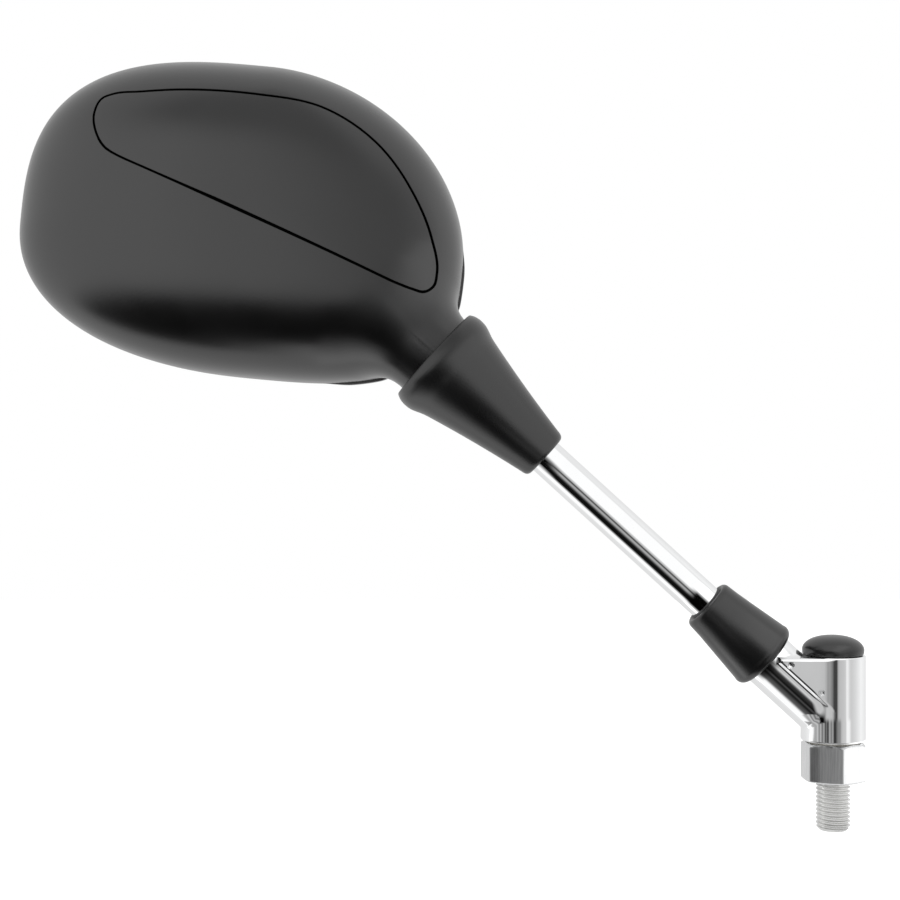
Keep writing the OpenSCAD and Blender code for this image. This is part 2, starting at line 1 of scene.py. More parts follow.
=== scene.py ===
import math
import bpy
import bmesh
import numpy as np
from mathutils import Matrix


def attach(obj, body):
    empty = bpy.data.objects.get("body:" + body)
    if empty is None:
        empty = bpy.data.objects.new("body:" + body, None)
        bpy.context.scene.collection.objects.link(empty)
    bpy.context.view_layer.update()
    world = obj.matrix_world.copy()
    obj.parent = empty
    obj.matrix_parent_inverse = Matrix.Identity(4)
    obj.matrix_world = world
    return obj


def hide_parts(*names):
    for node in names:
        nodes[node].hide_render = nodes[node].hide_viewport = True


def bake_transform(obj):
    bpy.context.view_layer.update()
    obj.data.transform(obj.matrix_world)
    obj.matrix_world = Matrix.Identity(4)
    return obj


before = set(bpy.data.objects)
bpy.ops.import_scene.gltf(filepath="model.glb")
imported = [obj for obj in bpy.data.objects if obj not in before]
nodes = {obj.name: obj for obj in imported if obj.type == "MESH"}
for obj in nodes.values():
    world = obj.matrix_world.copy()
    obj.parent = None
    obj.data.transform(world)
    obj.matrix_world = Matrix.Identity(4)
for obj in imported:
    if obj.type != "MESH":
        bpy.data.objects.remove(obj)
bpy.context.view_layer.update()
scene = bpy.context.scene
print("frame loaded:", len(nodes), "nodes")

mm = 0.001  # the script works in millimetres, the scene in metres

# sizes in millimetres, angles in degrees, as in the CAD source
cad = {
    "lean": 42.4, "crossZ": 18.1, "ball": 160.0, "neckStand": 1.46, "shoulder": 2.5,
    "outlineX": 1.6, "outlineZ": -17.4, "tilt": -5.5,
    "left": 71.4, "right": 62.5, "up": 53.9, "down": 39.5,
    "upLeft": 2.88, "upRight": 1.93, "lowLeft": 2.22, "lowRight": 3.11,
    "depth": 37.0, "rimY": 13.0, "fullness": 2.4, "wall": 2.4, "neckR": 13.6, "blendR": 7.0,
    "panelT": 1.9, "grooveDepth": 1.95, "grooveW": 0.9, "tubeIn": 11.0, "tubeOut": 12.9,
}
lean = math.radians(cad["lean"])
axisDir = np.array([-math.cos(lean), 0.0, math.sin(lean)])
sideDir = np.array([math.sin(lean), 0.0, math.cos(lean)])
crossing = np.array([0.0, 0.0, cad["crossZ"]])


# a piece from points in millimetres and faces by index
def makePiece(name, points, faces, mat, body=None, stands=(), sharp=32.0, outward=True):
    mesh = bpy.data.meshes.new(name)
    mesh.from_pydata((np.asarray(points, float) * mm).tolist(), [], [list(f) for f in faces])
    mesh.materials.append(mat)
    if outward:
        bm = bmesh.new()
        bm.from_mesh(mesh)
        bmesh.ops.recalc_face_normals(bm, faces=bm.faces)
        bm.to_mesh(mesh)
        bm.free()
    mesh.shade_smooth()
    if sharp:
        mesh.set_sharp_from_angle(angle=math.radians(sharp))
    mesh.update()
    piece = bpy.data.objects.new(name, mesh)
    scene.collection.objects.link(piece)
    if body:
        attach(piece, body)
    if stands:
        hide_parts(*stands)
    return piece


# a skin over rings of equal counts, closed at either end by a pole where one is given
def skin(rows, firstPole=None, lastPole=None):
    rows = [np.asarray(r, float) for r in rows]
    n = len(rows[0])
    points = [p for r in rows for p in r]
    faces = []
    for k in range(len(rows) - 1):
        a = k * n
        for i in range(n):
            j = (i + 1) % n
            faces.append((a + i, a + j, a + n + j, a + n + i))
    for pole, base in ((firstPole, 0), (lastPole, (len(rows) - 1) * n)):
        if pole is None:
            continue
        points.append(np.asarray(pole, float))
        tip = len(points) - 1
        for i in range(n):
            faces.append((tip, base + i, base + (i + 1) % n))
    return points, faces


# a turned piece: profile of (radius, height) about an axis from an origin, such as the stem's or the sleeve's
def turned(profile, origin, along, around=144, closed=True):
    along = np.asarray(along, float)
    across = np.array([0.0, 1.0, 0.0])
    third = np.cross(along, across)
    angles = np.linspace(0, 2 * math.pi, around, endpoint=False)
    ring = np.outer(np.cos(angles), third) + np.outer(np.sin(angles), across)
    points, faces = [], []
    rows = []
    for r, h in profile:
        centre = np.asarray(origin, float) + along * h
        if r < 1e-6:
            rows.append([len(points)])
            points.append(centre)
        else:
            rows.append(list(range(len(points), len(points) + around)))
            points.extend(centre + ring * r)
    count = len(rows)
    for k in range(count if closed else count - 1):
        a, b = rows[k], rows[(k + 1) % count]
        if len(a) == 1 and len(b) == 1:
            continue
        for i in range(around):
            j = (i + 1) % around
            if len(a) == 1:
                faces.append((a[0], b[j], b[i]))
            elif len(b) == 1:
                faces.append((a[i], a[j], b[0]))
            else:
                faces.append((a[i], a[j], b[j], b[i]))
    return points, faces


# rounds the corners of a profile: each corner as (r, h) or (r, h, radius)
def rounded(corners, steps=5, closed=True):
    out = []
    n = len(corners)
    for i, c in enumerate(corners):
        p = np.array(c[:2], float)
        radius = c[2] if len(c) > 2 else 0.0
        if radius <= 0 or (not closed and i in (0, n - 1)):
            out.append(tuple(p))
            continue
        a = np.array(corners[i - 1][:2], float) - p
        b = np.array(corners[(i + 1) % n][:2], float) - p
        la, lb = np.linalg.norm(a), np.linalg.norm(b)
        reach = min(radius, la * 0.49, lb * 0.49)
        start, end = p + a / la * reach, p + b / lb * reach
        for k in range(steps + 1):
            t = k / steps
            out.append(tuple((1 - t) ** 2 * start + 2 * t * (1 - t) * p + t * t * end))
    return out


def smooth(t):
    return t * t * (3 - 2 * t)


def eased(value, low, high):
    return smooth(np.clip((value - low) / (high - low), 0, 1))


def newMaterial(name):
    mat = bpy.data.materials.new(name)
    mat.use_nodes = True
    tree = mat.node_tree
    shader = tree.nodes["Principled BSDF"]
    return mat, tree, shader


# a new node with its inputs set by name or number
def newNode(tree, kind, values, operation=None):
    node = tree.nodes.new(kind)
    if operation:
        node.operation = operation
    for key, value in values.items():
        node.inputs[key].default_value = value
    return node


def coordinates(tree, scale=(1, 1, 1)):
    coord = tree.nodes.new("ShaderNodeTexCoord")
    mapping = newNode(tree, "ShaderNodeMapping", {"Scale": scale})
    tree.links.new(coord.outputs["Object"], mapping.inputs["Vector"])
    return mapping.outputs["Vector"]


def noiseAt(tree, vector, scale, detail=3.0, rough=0.5):
    node = newNode(tree, "ShaderNodeTexNoise", {"Scale": scale, "Detail": detail, "Roughness": rough})
    tree.links.new(vector, node.inputs["Vector"])
    return node.outputs["Fac"]


# spreads the middle half of a noise over a range
def ranged(tree, value, low, high):
    node = newNode(tree, "ShaderNodeMapRange", {"From Min": 0.25, "From Max": 0.75, "To Min": low, "To Max": high})
    tree.links.new(value, node.inputs["Value"])
    return node.outputs["Result"]


def bumped(tree, shader, height, distance):
    node = newNode(tree, "ShaderNodeBump", {"Strength": 1.0, "Distance": distance})
    tree.links.new(height, node.inputs["Height"])
    tree.links.new(node.outputs["Normal"], shader.inputs["Normal"])


def tinted(tree, value, darker, lighter):
    node = tree.nodes.new("ShaderNodeMix")
    node.data_type = "RGBA"
    node.inputs[6].default_value = (*darker, 1)
    node.inputs[7].default_value = (*lighter, 1)
    tree.links.new(value, node.inputs[0])
    return node.outputs[2]


# a finish with fine grain; the roughness wanders by its spread over coarse patches
def grainFinish(name, dark, light, rough, spread, grain, height, specular=0.5, metal=0.0, coarse=0.02):
    mat, tree, shader = newMaterial(name)
    vector = coordinates(tree)
    broad = noiseAt(tree, vector, 1.0 / coarse, 3.0)
    fine = noiseAt(tree, vector, 1.0 / grain, 2.0)
    tree.links.new(tinted(tree, ranged(tree, broad, 0, 1), dark, light), shader.inputs["Base Color"])
    tree.links.new(ranged(tree, broad, rough - spread, rough + spread), shader.inputs["Roughness"])
    shader.inputs["Metallic"].default_value = metal
    shader.inputs["Specular IOR Level"].default_value = specular
    bumped(tree, shader, fine, height)
    return mat


# colours are linear; grain, height and coarse are in metres
finishes = {
    "blackPlastic": {"dark": (0.0012, 0.0012, 0.0013), "light": (0.0026, 0.0026, 0.0028), "rough": 0.245,
                     "spread": 0.03, "grain": 0.0007, "height": 0.000012, "specular": 1.0},
    # painted shade: a near-black, dull finish that darkens the walls and floor of the groove round the inset panel
    "paintedGrooveShade": {"dark": (0.0008, 0.0008, 0.0008), "light": (0.0015, 0.0015, 0.0015), "rough": 0.8, "spread": 0.04,
                    "grain": 0.0007, "height": 0.000012, "specular": 0.05},
    "rubber": {"dark": (0.0022, 0.0022, 0.0024), "light": (0.0042, 0.0042, 0.0044), "rough": 0.3, "spread": 0.04,
               "grain": 0.0006, "height": 0.00002, "specular": 0.8},
    "zinc": {"dark": (0.42, 0.42, 0.41), "light": (0.55, 0.55, 0.54), "rough": 0.34, "spread": 0.06,
             "grain": 0.0005, "height": 0.000006, "metal": 1.0, "coarse": 0.003},
    "threadZinc": {"dark": (0.70, 0.70, 0.69), "light": (0.76, 0.76, 0.75), "rough": 0.26, "spread": 0.03,
                   "grain": 0.0005, "height": 0.0000004, "metal": 0.85, "coarse": 0.006},
    "nylon": {"dark": (0.70, 0.68, 0.62), "light": (0.76, 0.74, 0.69), "rough": 0.45, "spread": 0.05,
              "grain": 0.0008, "height": 0.00001},
    "bronze": {"dark": (0.42, 0.27, 0.12), "light": (0.50, 0.33, 0.16), "rough": 0.4, "spread": 0.05,
               "grain": 0.0005, "height": 0.000008, "metal": 1.0},
    "foam": {"dark": (0.035, 0.035, 0.036), "light": (0.05, 0.05, 0.052), "rough": 0.85, "spread": 0.03,
             "grain": 0.0006, "height": 0.00008},
    "chrome": {"dark": (0.93, 0.935, 0.94), "light": (0.955, 0.96, 0.965), "rough": 0.045, "spread": 0.015,
               "grain": 0.004, "height": 0.000003, "metal": 1.0, "coarse": 0.006},
}
made = {name: grainFinish(name, **values) for name, values in finishes.items()}
plastic, rubber, zinc, nylon, chrome = [made[name] for name in ("blackPlastic", "rubber", "zinc", "nylon", "chrome")]

brushedLook = {"dark": (0.62, 0.625, 0.63), "light": (0.84, 0.845, 0.85), "rough": (0.12, 0.22),
               "streaks": 2600.0, "stretch": 0.04, "patches": 260.0, "height": 0.000006}
glassLook = {"dark": (0.80, 0.82, 0.84), "light": (0.83, 0.85, 0.87), "rough": 0.012, "waves": 45.0, "height": 0.000004}


def brushedFinish():
    look = brushedLook
    mat, tree, shader = newMaterial("brushedChrome")
    vector = coordinates(tree, (1, 1, look["stretch"]))
    streaks = noiseAt(tree, vector, look["streaks"], 2.0, 0.6)
    broad = noiseAt(tree, coordinates(tree), look["patches"], 2.0)
    colour = tinted(tree, ranged(tree, streaks, 0, 1), look["dark"], look["light"])
    tree.links.new(colour, shader.inputs["Base Color"])
    tree.links.new(ranged(tree, broad, *look["rough"]), shader.inputs["Roughness"])
    shader.inputs["Metallic"].default_value = 1.0
    bumped(tree, shader, streaks, look["height"])
    return mat


def glassFinish():
    look = glassLook
    mat, tree, shader = newMaterial("mirrorGlass")
    wave = noiseAt(tree, coordinates(tree), look["waves"], 1.0)
    colour = tinted(tree, ranged(tree, wave, 0, 1), look["dark"], look["light"])
    tree.links.new(colour, shader.inputs["Base Color"])
    shader.inputs["Metallic"].default_value = 1.0
    shader.inputs["Roughness"].default_value = look["rough"]
    bumped(tree, shader, wave, look["height"])
    return mat


brushed = brushedFinish()
mirror = glassFinish()

# the CAD nodes that keep their own shape only get a finish
nodeFinishes = {
    "friction_washer": nylon, "lower_ball_seat": nylon, "upper_ball_seat": nylon, "pivot_bush": made["bronze"],
    "flat_washer": zinc, "spring_washer": zinc, "pivot_nut": zinc, "stem_lock_nut": zinc, "ball_stud": zinc,
    "ball_socket": zinc, "disc_springs": zinc, "adjusting_plug": zinc, "retaining_ring": zinc,
    "glass_carrier": plastic, "glass_pad": made["foam"], "bracket": chrome,
}
for node, mat in nodeFinishes.items():
    nodes[node].data.materials.clear()
    nodes[node].data.materials.append(mat)
print("materials made")


# head outline, dome and neck: the measure is 1 on the outline, a quarter-superellipse in each quarter
def outlineMeasure(x, z):
    t = math.radians(cad["tilt"])
    dx, dz = x - cad["outlineX"], z - cad["outlineZ"]
    u = dx * math.cos(t) + dz * math.sin(t)
    v = dz * math.cos(t) - dx * math.sin(t)
    a = np.where(u < 0, cad["left"], cad["right"])
    b = np.where(v < 0, cad["down"], cad["up"])
    lowPower = np.where(u < 0, cad["lowLeft"], cad["lowRight"])
    highPower = np.where(u < 0, cad["upLeft"], cad["upRight"])
    n = np.where(v < 0, lowPower, highPower)
    return (np.abs(u / a) ** n + np.abs(v / b) ** n) ** (1 / n)


# narrows a span down to where a test stops being true
def halved(low, high, steps, inside):
    for _ in range(steps):
        middle = (low + high) / 2
        within = inside(middle)
        low, high = np.where(within, middle, low), np.where(within, high, middle)
    return low, high


# reach of the outline from the pole at each angle
def outlineRadius(angles):
    low, high = np.full(angles.shape, 10.0), np.full(angles.shape, 160.0)
    low, high = halved(low, high, 40, lambda r: outlineMeasure(r * np.cos(angles), r * np.sin(angles)) < 1)
    return (low + high) / 2


neckAngle = -lean
poleL = float(outlineRadius(np.array([neckAngle]))[0]) + cad["neckStand"]
collarL = poleL + cad["shoulder"]
pole = crossing + axisDir * (cad["ball"] + poleL)
poleY = cad["rimY"] - cad["depth"]

# bearings from the pole, closer together towards the neck
bearingCount = 440
share = 2 * np.arange(bearingCount) / bearingCount - 1
turn = np.radians(180 * (0.3 * share + 0.7 * share * np.abs(share)))
bearings = neckAngle + turn
outline = outlineRadius(bearings)


# share of the outline's reach that the dome has at a depth
def spanAt(y, depth):
    return np.maximum(0, 1 - (np.maximum(0, cad["rimY"] - y) / depth) ** cad["fullness"]) ** (1 / cad["fullness"])


# distance outwards from the housing and its neck, joined by a hollow blend
def joinedDistance(radius, y, reach=None, side=None):
    n = cad["fullness"]
    reach = outline[:, None] if reach is None else reach
    side = np.abs(turn)[:, None] if side is None else side
    f = radius / reach
    t = np.maximum(0, cad["rimY"] - y) / cad["depth"]
    g = (f ** n + t ** n) ** (1 / n)
    slope = np.hypot(f ** (n - 1) / reach, t ** (n - 1) / cad["depth"])
    form = (g - 1) * g ** (n - 1) / np.maximum(slope, 1e-9)
    bar = np.hypot(radius * np.sin(np.minimum(side, math.pi / 2)), y) - cad["neckR"]
    h = np.maximum(0, 1 - np.abs(form - bar) / cad["blendR"])
    return np.minimum(form, bar) - h * h * cad["blendR"] / 4


tableAngles = np.linspace(-math.pi, math.pi, 20000, endpoint=False)
tableReach = outlineRadius(tableAngles)


# the same distance at any points, for exact normals on the head's outside
def headDistance(p):
    dx, dz = p[:, 0] - pole[0], p[:, 2] - pole[2]
    angle = np.arctan2(dz, dx)
    side = np.abs(np.mod(angle - neckAngle + math.pi, 2 * math.pi) - math.pi)
    reach = np.interp(angle, tableAngles, tableReach, period=2 * math.pi)
    return joinedDistance(np.hypot(dx, dz), p[:, 1], reach, side)


# slope of a distance at points, as unit vectors
def slopeOf(distance, points, step=0.02):
    slope = np.stack([distance(points + d) - distance(points - d) for d in np.eye(3) * step], 1) / (2 * step)
    return slope / np.maximum(np.linalg.norm(slope, axis=1, keepdims=True), 1e-6)


# exact normals for the faces on the skin, and painted shade for the faces below it, down to a depth: a near-black, dull
# material that darkens the groove's walls and floor
grooveFaces = {"skin": 0.11, "from": -0.12, "front": 5, "reach": 62}


def finishOutside(piece, depth):
    mesh = piece.data
    points = np.empty(len(mesh.vertices) * 3)
    mesh.vertices.foreach_get("co", points)
    points = points.reshape(-1, 3) * 1000
    far = headDistance(points)
    slope = slopeOf(headDistance, points, 0.05)
    # the faces below the skin get the painted groove shade
    mesh.materials.append(made["paintedGrooveShade"])
    normals = []
    for face in mesh.polygons:
        at = list(face.vertices)
        onSkin = np.abs(far[at]).max() < grooveFaces["skin"]
        normals += slope[at].tolist() if onSkin else [(0.0, 0.0, 0.0)] * len(at)
        below = depth < far[at].mean() < grooveFaces["from"]
        near = points[at, 1].max() < grooveFaces["front"] and points[at, 0].min() < pole[0] + grooveFaces["reach"]
        if below and near and not onSkin:
            face.material_index = 1
    mesh.normals_split_custom_set(normals)


# radius of the outside from the pole, rows of bearings against depths
def outsideRadius(y):
    y = np.asarray(y, float)
    side = np.abs(turn)[:, None]
    wide = math.radians(80)
    most = np.where(side > wide, 2 * outline[:, None], collarL / np.cos(np.minimum(side, wide)))
    most = np.broadcast_to(most, y.shape)
    return halved(np.zeros(y.shape), most, 24, lambda radius: joinedDistance(radius, y) < 0)[1]


# a ring of points about the pole
def headRow(radius, y):
    x, z = pole[0] + radius * np.cos(bearings), pole[2] + radius * np.sin(bearings)
    return np.stack([x, np.broadcast_to(y, radius.shape), z], axis=1)


fineY = poleY + (cad["rimY"] - poleY) * np.linspace(0, 1, 1400) ** 1.6
fineR = outsideRadius(np.tile(fineY, (bearingCount, 1)))


# depth of the back at a radius on each bearing, from the pole outwards
def backDepth(radius):
    out = np.empty(bearingCount)
    for i in range(bearingCount):
        k = int(np.argmax(fineR[i] >= radius[i])) or len(fineY) - 1
        r0, r1 = fineR[i][k - 1], fineR[i][k]
        out[i] = fineY[k - 1] + (fineY[k] - fineY[k - 1]) * (radius[i] - r0) / max(r1 - r0, 1e-9)
    return out


# the panel's corners from the pole; the groove keeps a share of its CAD width, more of it along the bottom
panel = {
    "corners": [[-34, 4.5], [-38.9, 7.6], [-41.9, 12.4], [-42.85, 18.6], [-40.7, 23.3], [-37.5, 24.4], [-29, 24.65],
                [-18, 24.95], [5, 23.5], [24, 19.9], [38.8, 10.3], [49.5, -4.1], [54.8, -16.5], [56.5, -27],
                [55.4, -31.2], [52.4, -33.2], [48.6, -32.4], [43.2, -30.5]],
    "grooveShare": 0.66, "grooveLower": 0.24, "edgeRound": 0.3,
}
panelCorners = np.array(panel["corners"])


# the panel's outline as radii on the bearings, moved outwards by a distance
def panelRadius(outwards):
    p = panelCorners
    n = len(p)

    def direction(i):
        before, after = p[i] - p[i - 1], p[(i + 1) % n] - p[i]
        lb, la = np.linalg.norm(before), np.linalg.norm(after)
        total = before * la / lb + after * lb / la
        return total / np.linalg.norm(total)

    curve = []
    for i in range(n - 1):
        b, c = p[i], p[i + 1]
        length = np.linalg.norm(c - b)
        leave, arrive = length * direction(i), length * direction(i + 1)
        for t in np.linspace(0, 1, 24, endpoint=False):
            curve.append((2 * t ** 3 - 3 * t ** 2 + 1) * b + (t ** 3 - 2 * t ** 2 + t) * leave
                         + (3 * t ** 2 - 2 * t ** 3) * c + (t ** 3 - t ** 2) * arrive)
    for t in np.linspace(0, 1, 60, endpoint=False):
        curve.append(p[-1] * (1 - t) + p[0] * t)
    curve = np.array(curve)
    tangent = np.roll(curve, -1, 0) - np.roll(curve, 1, 0)
    normal = np.stack([-tangent[:, 1], tangent[:, 0]], 1)
    normal /= np.linalg.norm(normal, axis=1)[:, None]
    curve = curve + normal * outwards
    angle = np.arctan2(curve[:, 1], curve[:, 0])
    order = np.argsort(angle)
    angle, radius = angle[order], np.linalg.norm(curve, axis=1)[order]
    return np.interp(np.mod(bearings + math.pi, 2 * math.pi) - math.pi, angle, radius, period=2 * math.pi)


grooveR = panelRadius(0.0)
lowerSide = np.clip(-1.3 * np.sin(bearings), 0, 1)
grooveShare = panel["grooveShare"] + panel["grooveLower"] * lowerSide
panelR = grooveR - (grooveR - panelRadius(-cad["grooveW"])) * grooveShare
edgeRound = panel["edgeRound"]

# shell: pocket floor, groove, outside, rim and hollow as one skin, its rows spaced evenly along dome and neck
shellRows = {"floor": 15, "outside": 118, "hollow": 17}
levelCount = shellRows["outside"]
measureY = np.linspace(cad["rimY"] - 0.35, poleY + 0.01, 4000)
onDome = 70 * spanAt(measureY, cad["depth"])
step = np.hypot(np.diff(onDome), np.diff(measureY))
mid = (measureY[1:] + measureY[:-1]) / 2
steep = 1.6 * cad["neckR"] * np.abs(np.diff(measureY)) / np.sqrt(np.maximum(cad["neckR"] ** 2 - mid ** 2, 0.6))
step = step + steep * (np.abs(mid) < cad["neckR"])
measure = np.concatenate([[0], np.cumsum(step)])
edgeY = backDepth(grooveR + edgeRound)
levels = []
for k in range(levelCount + 1):
    target = np.interp(-edgeY, -measureY, measure) * k / levelCount
    levels.append(np.interp(target, measure, measureY))
levels = np.array(levels).T
outsideR = outsideRadius(levels)

rows = []
for f in np.linspace(0.04, 1, shellRows["floor"]):
    rows.append(headRow(grooveR * f, backDepth(grooveR * f) + cad["grooveDepth"]))
wallTop = backDepth(grooveR)
rows.append(headRow(grooveR, wallTop + edgeRound))
rows.append(headRow(grooveR + 0.03, wallTop + 0.13))
rows.append(headRow(grooveR + 0.12, backDepth(grooveR + 0.12) + 0.03))
for k in range(levelCount, -1, -1):
    rows.append(headRow(outsideR[:, k], levels[:, k]))
rimR = outsideRadius(np.full((bearingCount, 1), cad["rimY"]))[:, 0]
rows.append(headRow(rimR - 0.12, cad["rimY"] - 0.08))
rows.append(headRow(rimR - 0.4, cad["rimY"]))
rows.append(headRow(outline - cad["wall"], cad["rimY"]))
hollowDepth = cad["depth"] - cad["wall"] - cad["grooveDepth"]
rows.append(headRow(spanAt(cad["rimY"] - 4.6, hollowDepth) * outline - cad["wall"], cad["rimY"] - 4.6))
for k in range(2, shellRows["hollow"]):
    f = math.cos(math.pi / 2 * k / shellRows["hollow"])
    y = cad["rimY"] - hollowDepth * (1 - f ** cad["fullness"]) ** (1 / cad["fullness"])
    radius = np.maximum(1, f * outline - cad["wall"] - cad["grooveDepth"] * min(1, (cad["rimY"] - y) / 12))
    rows.append(headRow(radius, y))
floorPole = [pole[0], poleY + cad["grooveDepth"], pole[2]]
hollowPole = [pole[0], cad["rimY"] - hollowDepth, pole[2]]
points, faces = skin(rows, floorPole, hollowPole)
shell = makePiece("housingShell", points, faces, plastic, "head", ["housing_shell"])


# cuts one piece by another with the manifold solver, then drops the cutter
def cutBy(piece, cutter):
    modifier = piece.modifiers.new("cut", "BOOLEAN")
    modifier.operation = "DIFFERENCE"
    modifier.solver = "MANIFOLD"
    modifier.object = cutter
    result = bpy.data.meshes.new_from_object(piece.evaluated_get(bpy.context.evaluated_depsgraph_get()))
    piece.modifiers.clear()
    piece.data = result
    result.shade_smooth()
    result.set_sharp_from_angle(angle=math.radians(32))
    bpy.data.objects.remove(cutter)


ballPoint = crossing + axisDir * cad["ball"]
tube = {"foot": -9, "ledge": 1, "top": 20.85, "boreFrom": -11, "boreTo": 33, "play": 0.02}  # heights from the ball
boreR = cad["tubeOut"] + tube["play"]
boreFrom, boreTo = tube["boreFrom"], tube["boreTo"]
bore = [(0, boreFrom), (boreR, boreFrom), (boreR, boreTo), (0, boreTo)]
points, faces = turned(bore, ballPoint, axisDir, 128)
cutBy(shell, makePiece("boreCutter", points, faces, plastic))
inner, outer = cad["tubeIn"], cad["tubeOut"]
tubeProfile = rounded([(inner - tube["ledge"], tube["foot"], 0.2), (outer, tube["foot"], 0.4),
                       (outer, tube["top"], 0.3), (inner, tube["top"], 0.3), (inner, tube["foot"] + 1),
                       (inner - tube["ledge"], tube["foot"] + 1)], 3)
points, faces = turned(tubeProfile, ballPoint, axisDir, 128)
makePiece("socketTube", points, faces, plastic, "head", ["housing_shell"])
finishOutside(shell, -2.1)
print("shell made:", len(shell.data.polygons), "faces")

# inset panel
rows = []
for f in np.linspace(0.02, 1, 46):
    radius = (panelR - edgeRound) * f
    rows.append(headRow(radius, backDepth(radius)))
edge = backDepth(panelR)
rows.append(headRow(panelR - 0.12, backDepth(panelR - 0.12) + 0.03))
rows.append(headRow(panelR - 0.03, edge + 0.13))
rows.append(headRow(panelR, edge + edgeRound))
for f in (1, 0.85, 0.6, 0.3):
    rows.append(headRow(panelR * f, backDepth(panelR * f) + cad["panelT"]))
points, faces = skin(rows, [pole[0], poleY, pole[2]], [pole[0], poleY + cad["panelT"], pole[2]])
finishOutside(makePiece("insetPanel", points, faces, plastic, "head", ["inset_panel"]), -1.85)

# front bezel: the tongue stops beside the socket tube
bezel = {"foot": 13.2, "front": 20.2, "bendFoot": 16.6, "bendIn": 2.4, "bendUp": 3.6, "lipIn": 4.6, "glassTop": 18.75,
         "wallIn": 3.2, "shelf": 13.65, "tongueIn": 4.3, "tongueFoot": 9.4, "tongueOut": 3.0, "shoulder": 0.8}
b = bezel
section = [(0.15, b["foot"]), (0.03, b["foot"] + 0.12), (0.0, b["foot"] + 0.35), (0.0, b["bendFoot"] - 0.4)]
for a in range(0, 91, 10):
    inwards, up = 1 - math.cos(math.radians(a)), math.sin(math.radians(a))
    section.append((b["bendIn"] * inwards, b["bendFoot"] + b["bendUp"] * up))
section += [(b["lipIn"] - 0.35, b["front"]), (b["lipIn"] - 0.1, b["front"] - 0.1), (b["lipIn"], b["front"] - 0.35),
            (b["lipIn"], b["glassTop"]), (b["wallIn"], b["glassTop"]), (b["wallIn"], b["shelf"]),
            (b["tongueIn"], b["shelf"]), (b["tongueIn"], b["tongueFoot"]), (b["tongueOut"], b["tongueFoot"]),
            (b["tongueOut"], b["foot"])]
fromNeck = np.degrees(np.abs(turn))
beside = eased(fromNeck, 11.5, 14.5)
shoulder = np.clip((fromNeck - 8) / 6, 0, 1) * np.clip((28 - fromNeck) / 8, 0, 1)
shoulder = bezel["shoulder"] * smooth(shoulder)
rows = []
for inset, y in section:
    depthHere = np.full(bearingCount, y)
    if y < bezel["foot"] - 1:
        depthHere = (bezel["foot"] - 0.01) + (y - bezel["foot"] + 0.01) * beside
    outside = inset < bezel["tongueOut"] and y >= bezel["foot"]
    rows.append(headRow(outline - inset + (shoulder if outside else 0), depthHere))
points, faces = skin(rows)
last = len(points) - bearingCount
for i in range(bearingCount):  # joins the last ring to the first
    j = (i + 1) % bearingCount
    faces.append((last + i, last + j, j, i))
makePiece("frontBezel", points, faces, plastic, "head", ["front_bezel"])

# mirror glass with ground edges
glass = {"back": 16.3, "front": 18.7, "inset": 3.5, "bevel": 0.25}
glassR, back, front, bevel = outline - glass["inset"], glass["back"], glass["front"], glass["bevel"]
rows = [headRow(glassR * 0.5, back), headRow(glassR - bevel, back), headRow(glassR, back + bevel),
        headRow(glassR, front - bevel), headRow(glassR - bevel, front), headRow(glassR * 0.5, front)]
points, faces = skin(rows, [pole[0], back, pole[2]], [pole[0], front, pole[2]])
makePiece("mirrorGlass", points, faces, mirror, "head", ["mirror_glass"], sharp=20)
print("head made")

# the bracket casting: sleeve, arm and web run together with small fillets, as distances in millimetres
bracket = {"sleeveR": 9.5, "sleeveFoot": 12.0, "sleeveTop": 37.2, "armR": 8.2, "armL": 36.0, "webHalf": 9.25,
           "webRise": 1.2, "webReach": 17.5, "webTop": 37.1, "webEnd": 1.0, "webRound": 0.9, "fillet": 0.45,
           "crease": 0.2, "edge": 0.45, "boreR": 7.25, "footR": 8.4, "footTop": 12.8, "counterR": 8.2,
           "counterFoot": 26.0, "stemBoreR": 5.05, "stemBoreFrom": 16.0, "dimpleR": 1.0, "dimpleOut": 0.4,
           "dimples": [(-14.4, 35.1), (-5.3, 27.1)], "cell": 0.31}


# a solid rod with rounded ends, from its radius and its place along the axis
def rodDistance(radius, along, r, low, high, edge):
    a, b = radius - r + edge, np.abs(along - 0.5 * (low + high)) - 0.5 * (high - low) + edge
    return np.minimum(np.maximum(a, b), 0) + np.hypot(np.maximum(a, 0), np.maximum(b, 0)) - edge


# the nearer of two distances, run together over a size
def merged(a, b, size):
    near = np.maximum(size - np.abs(a - b), 0) / size
    return np.minimum(a, b) - near * near * size * 0.25


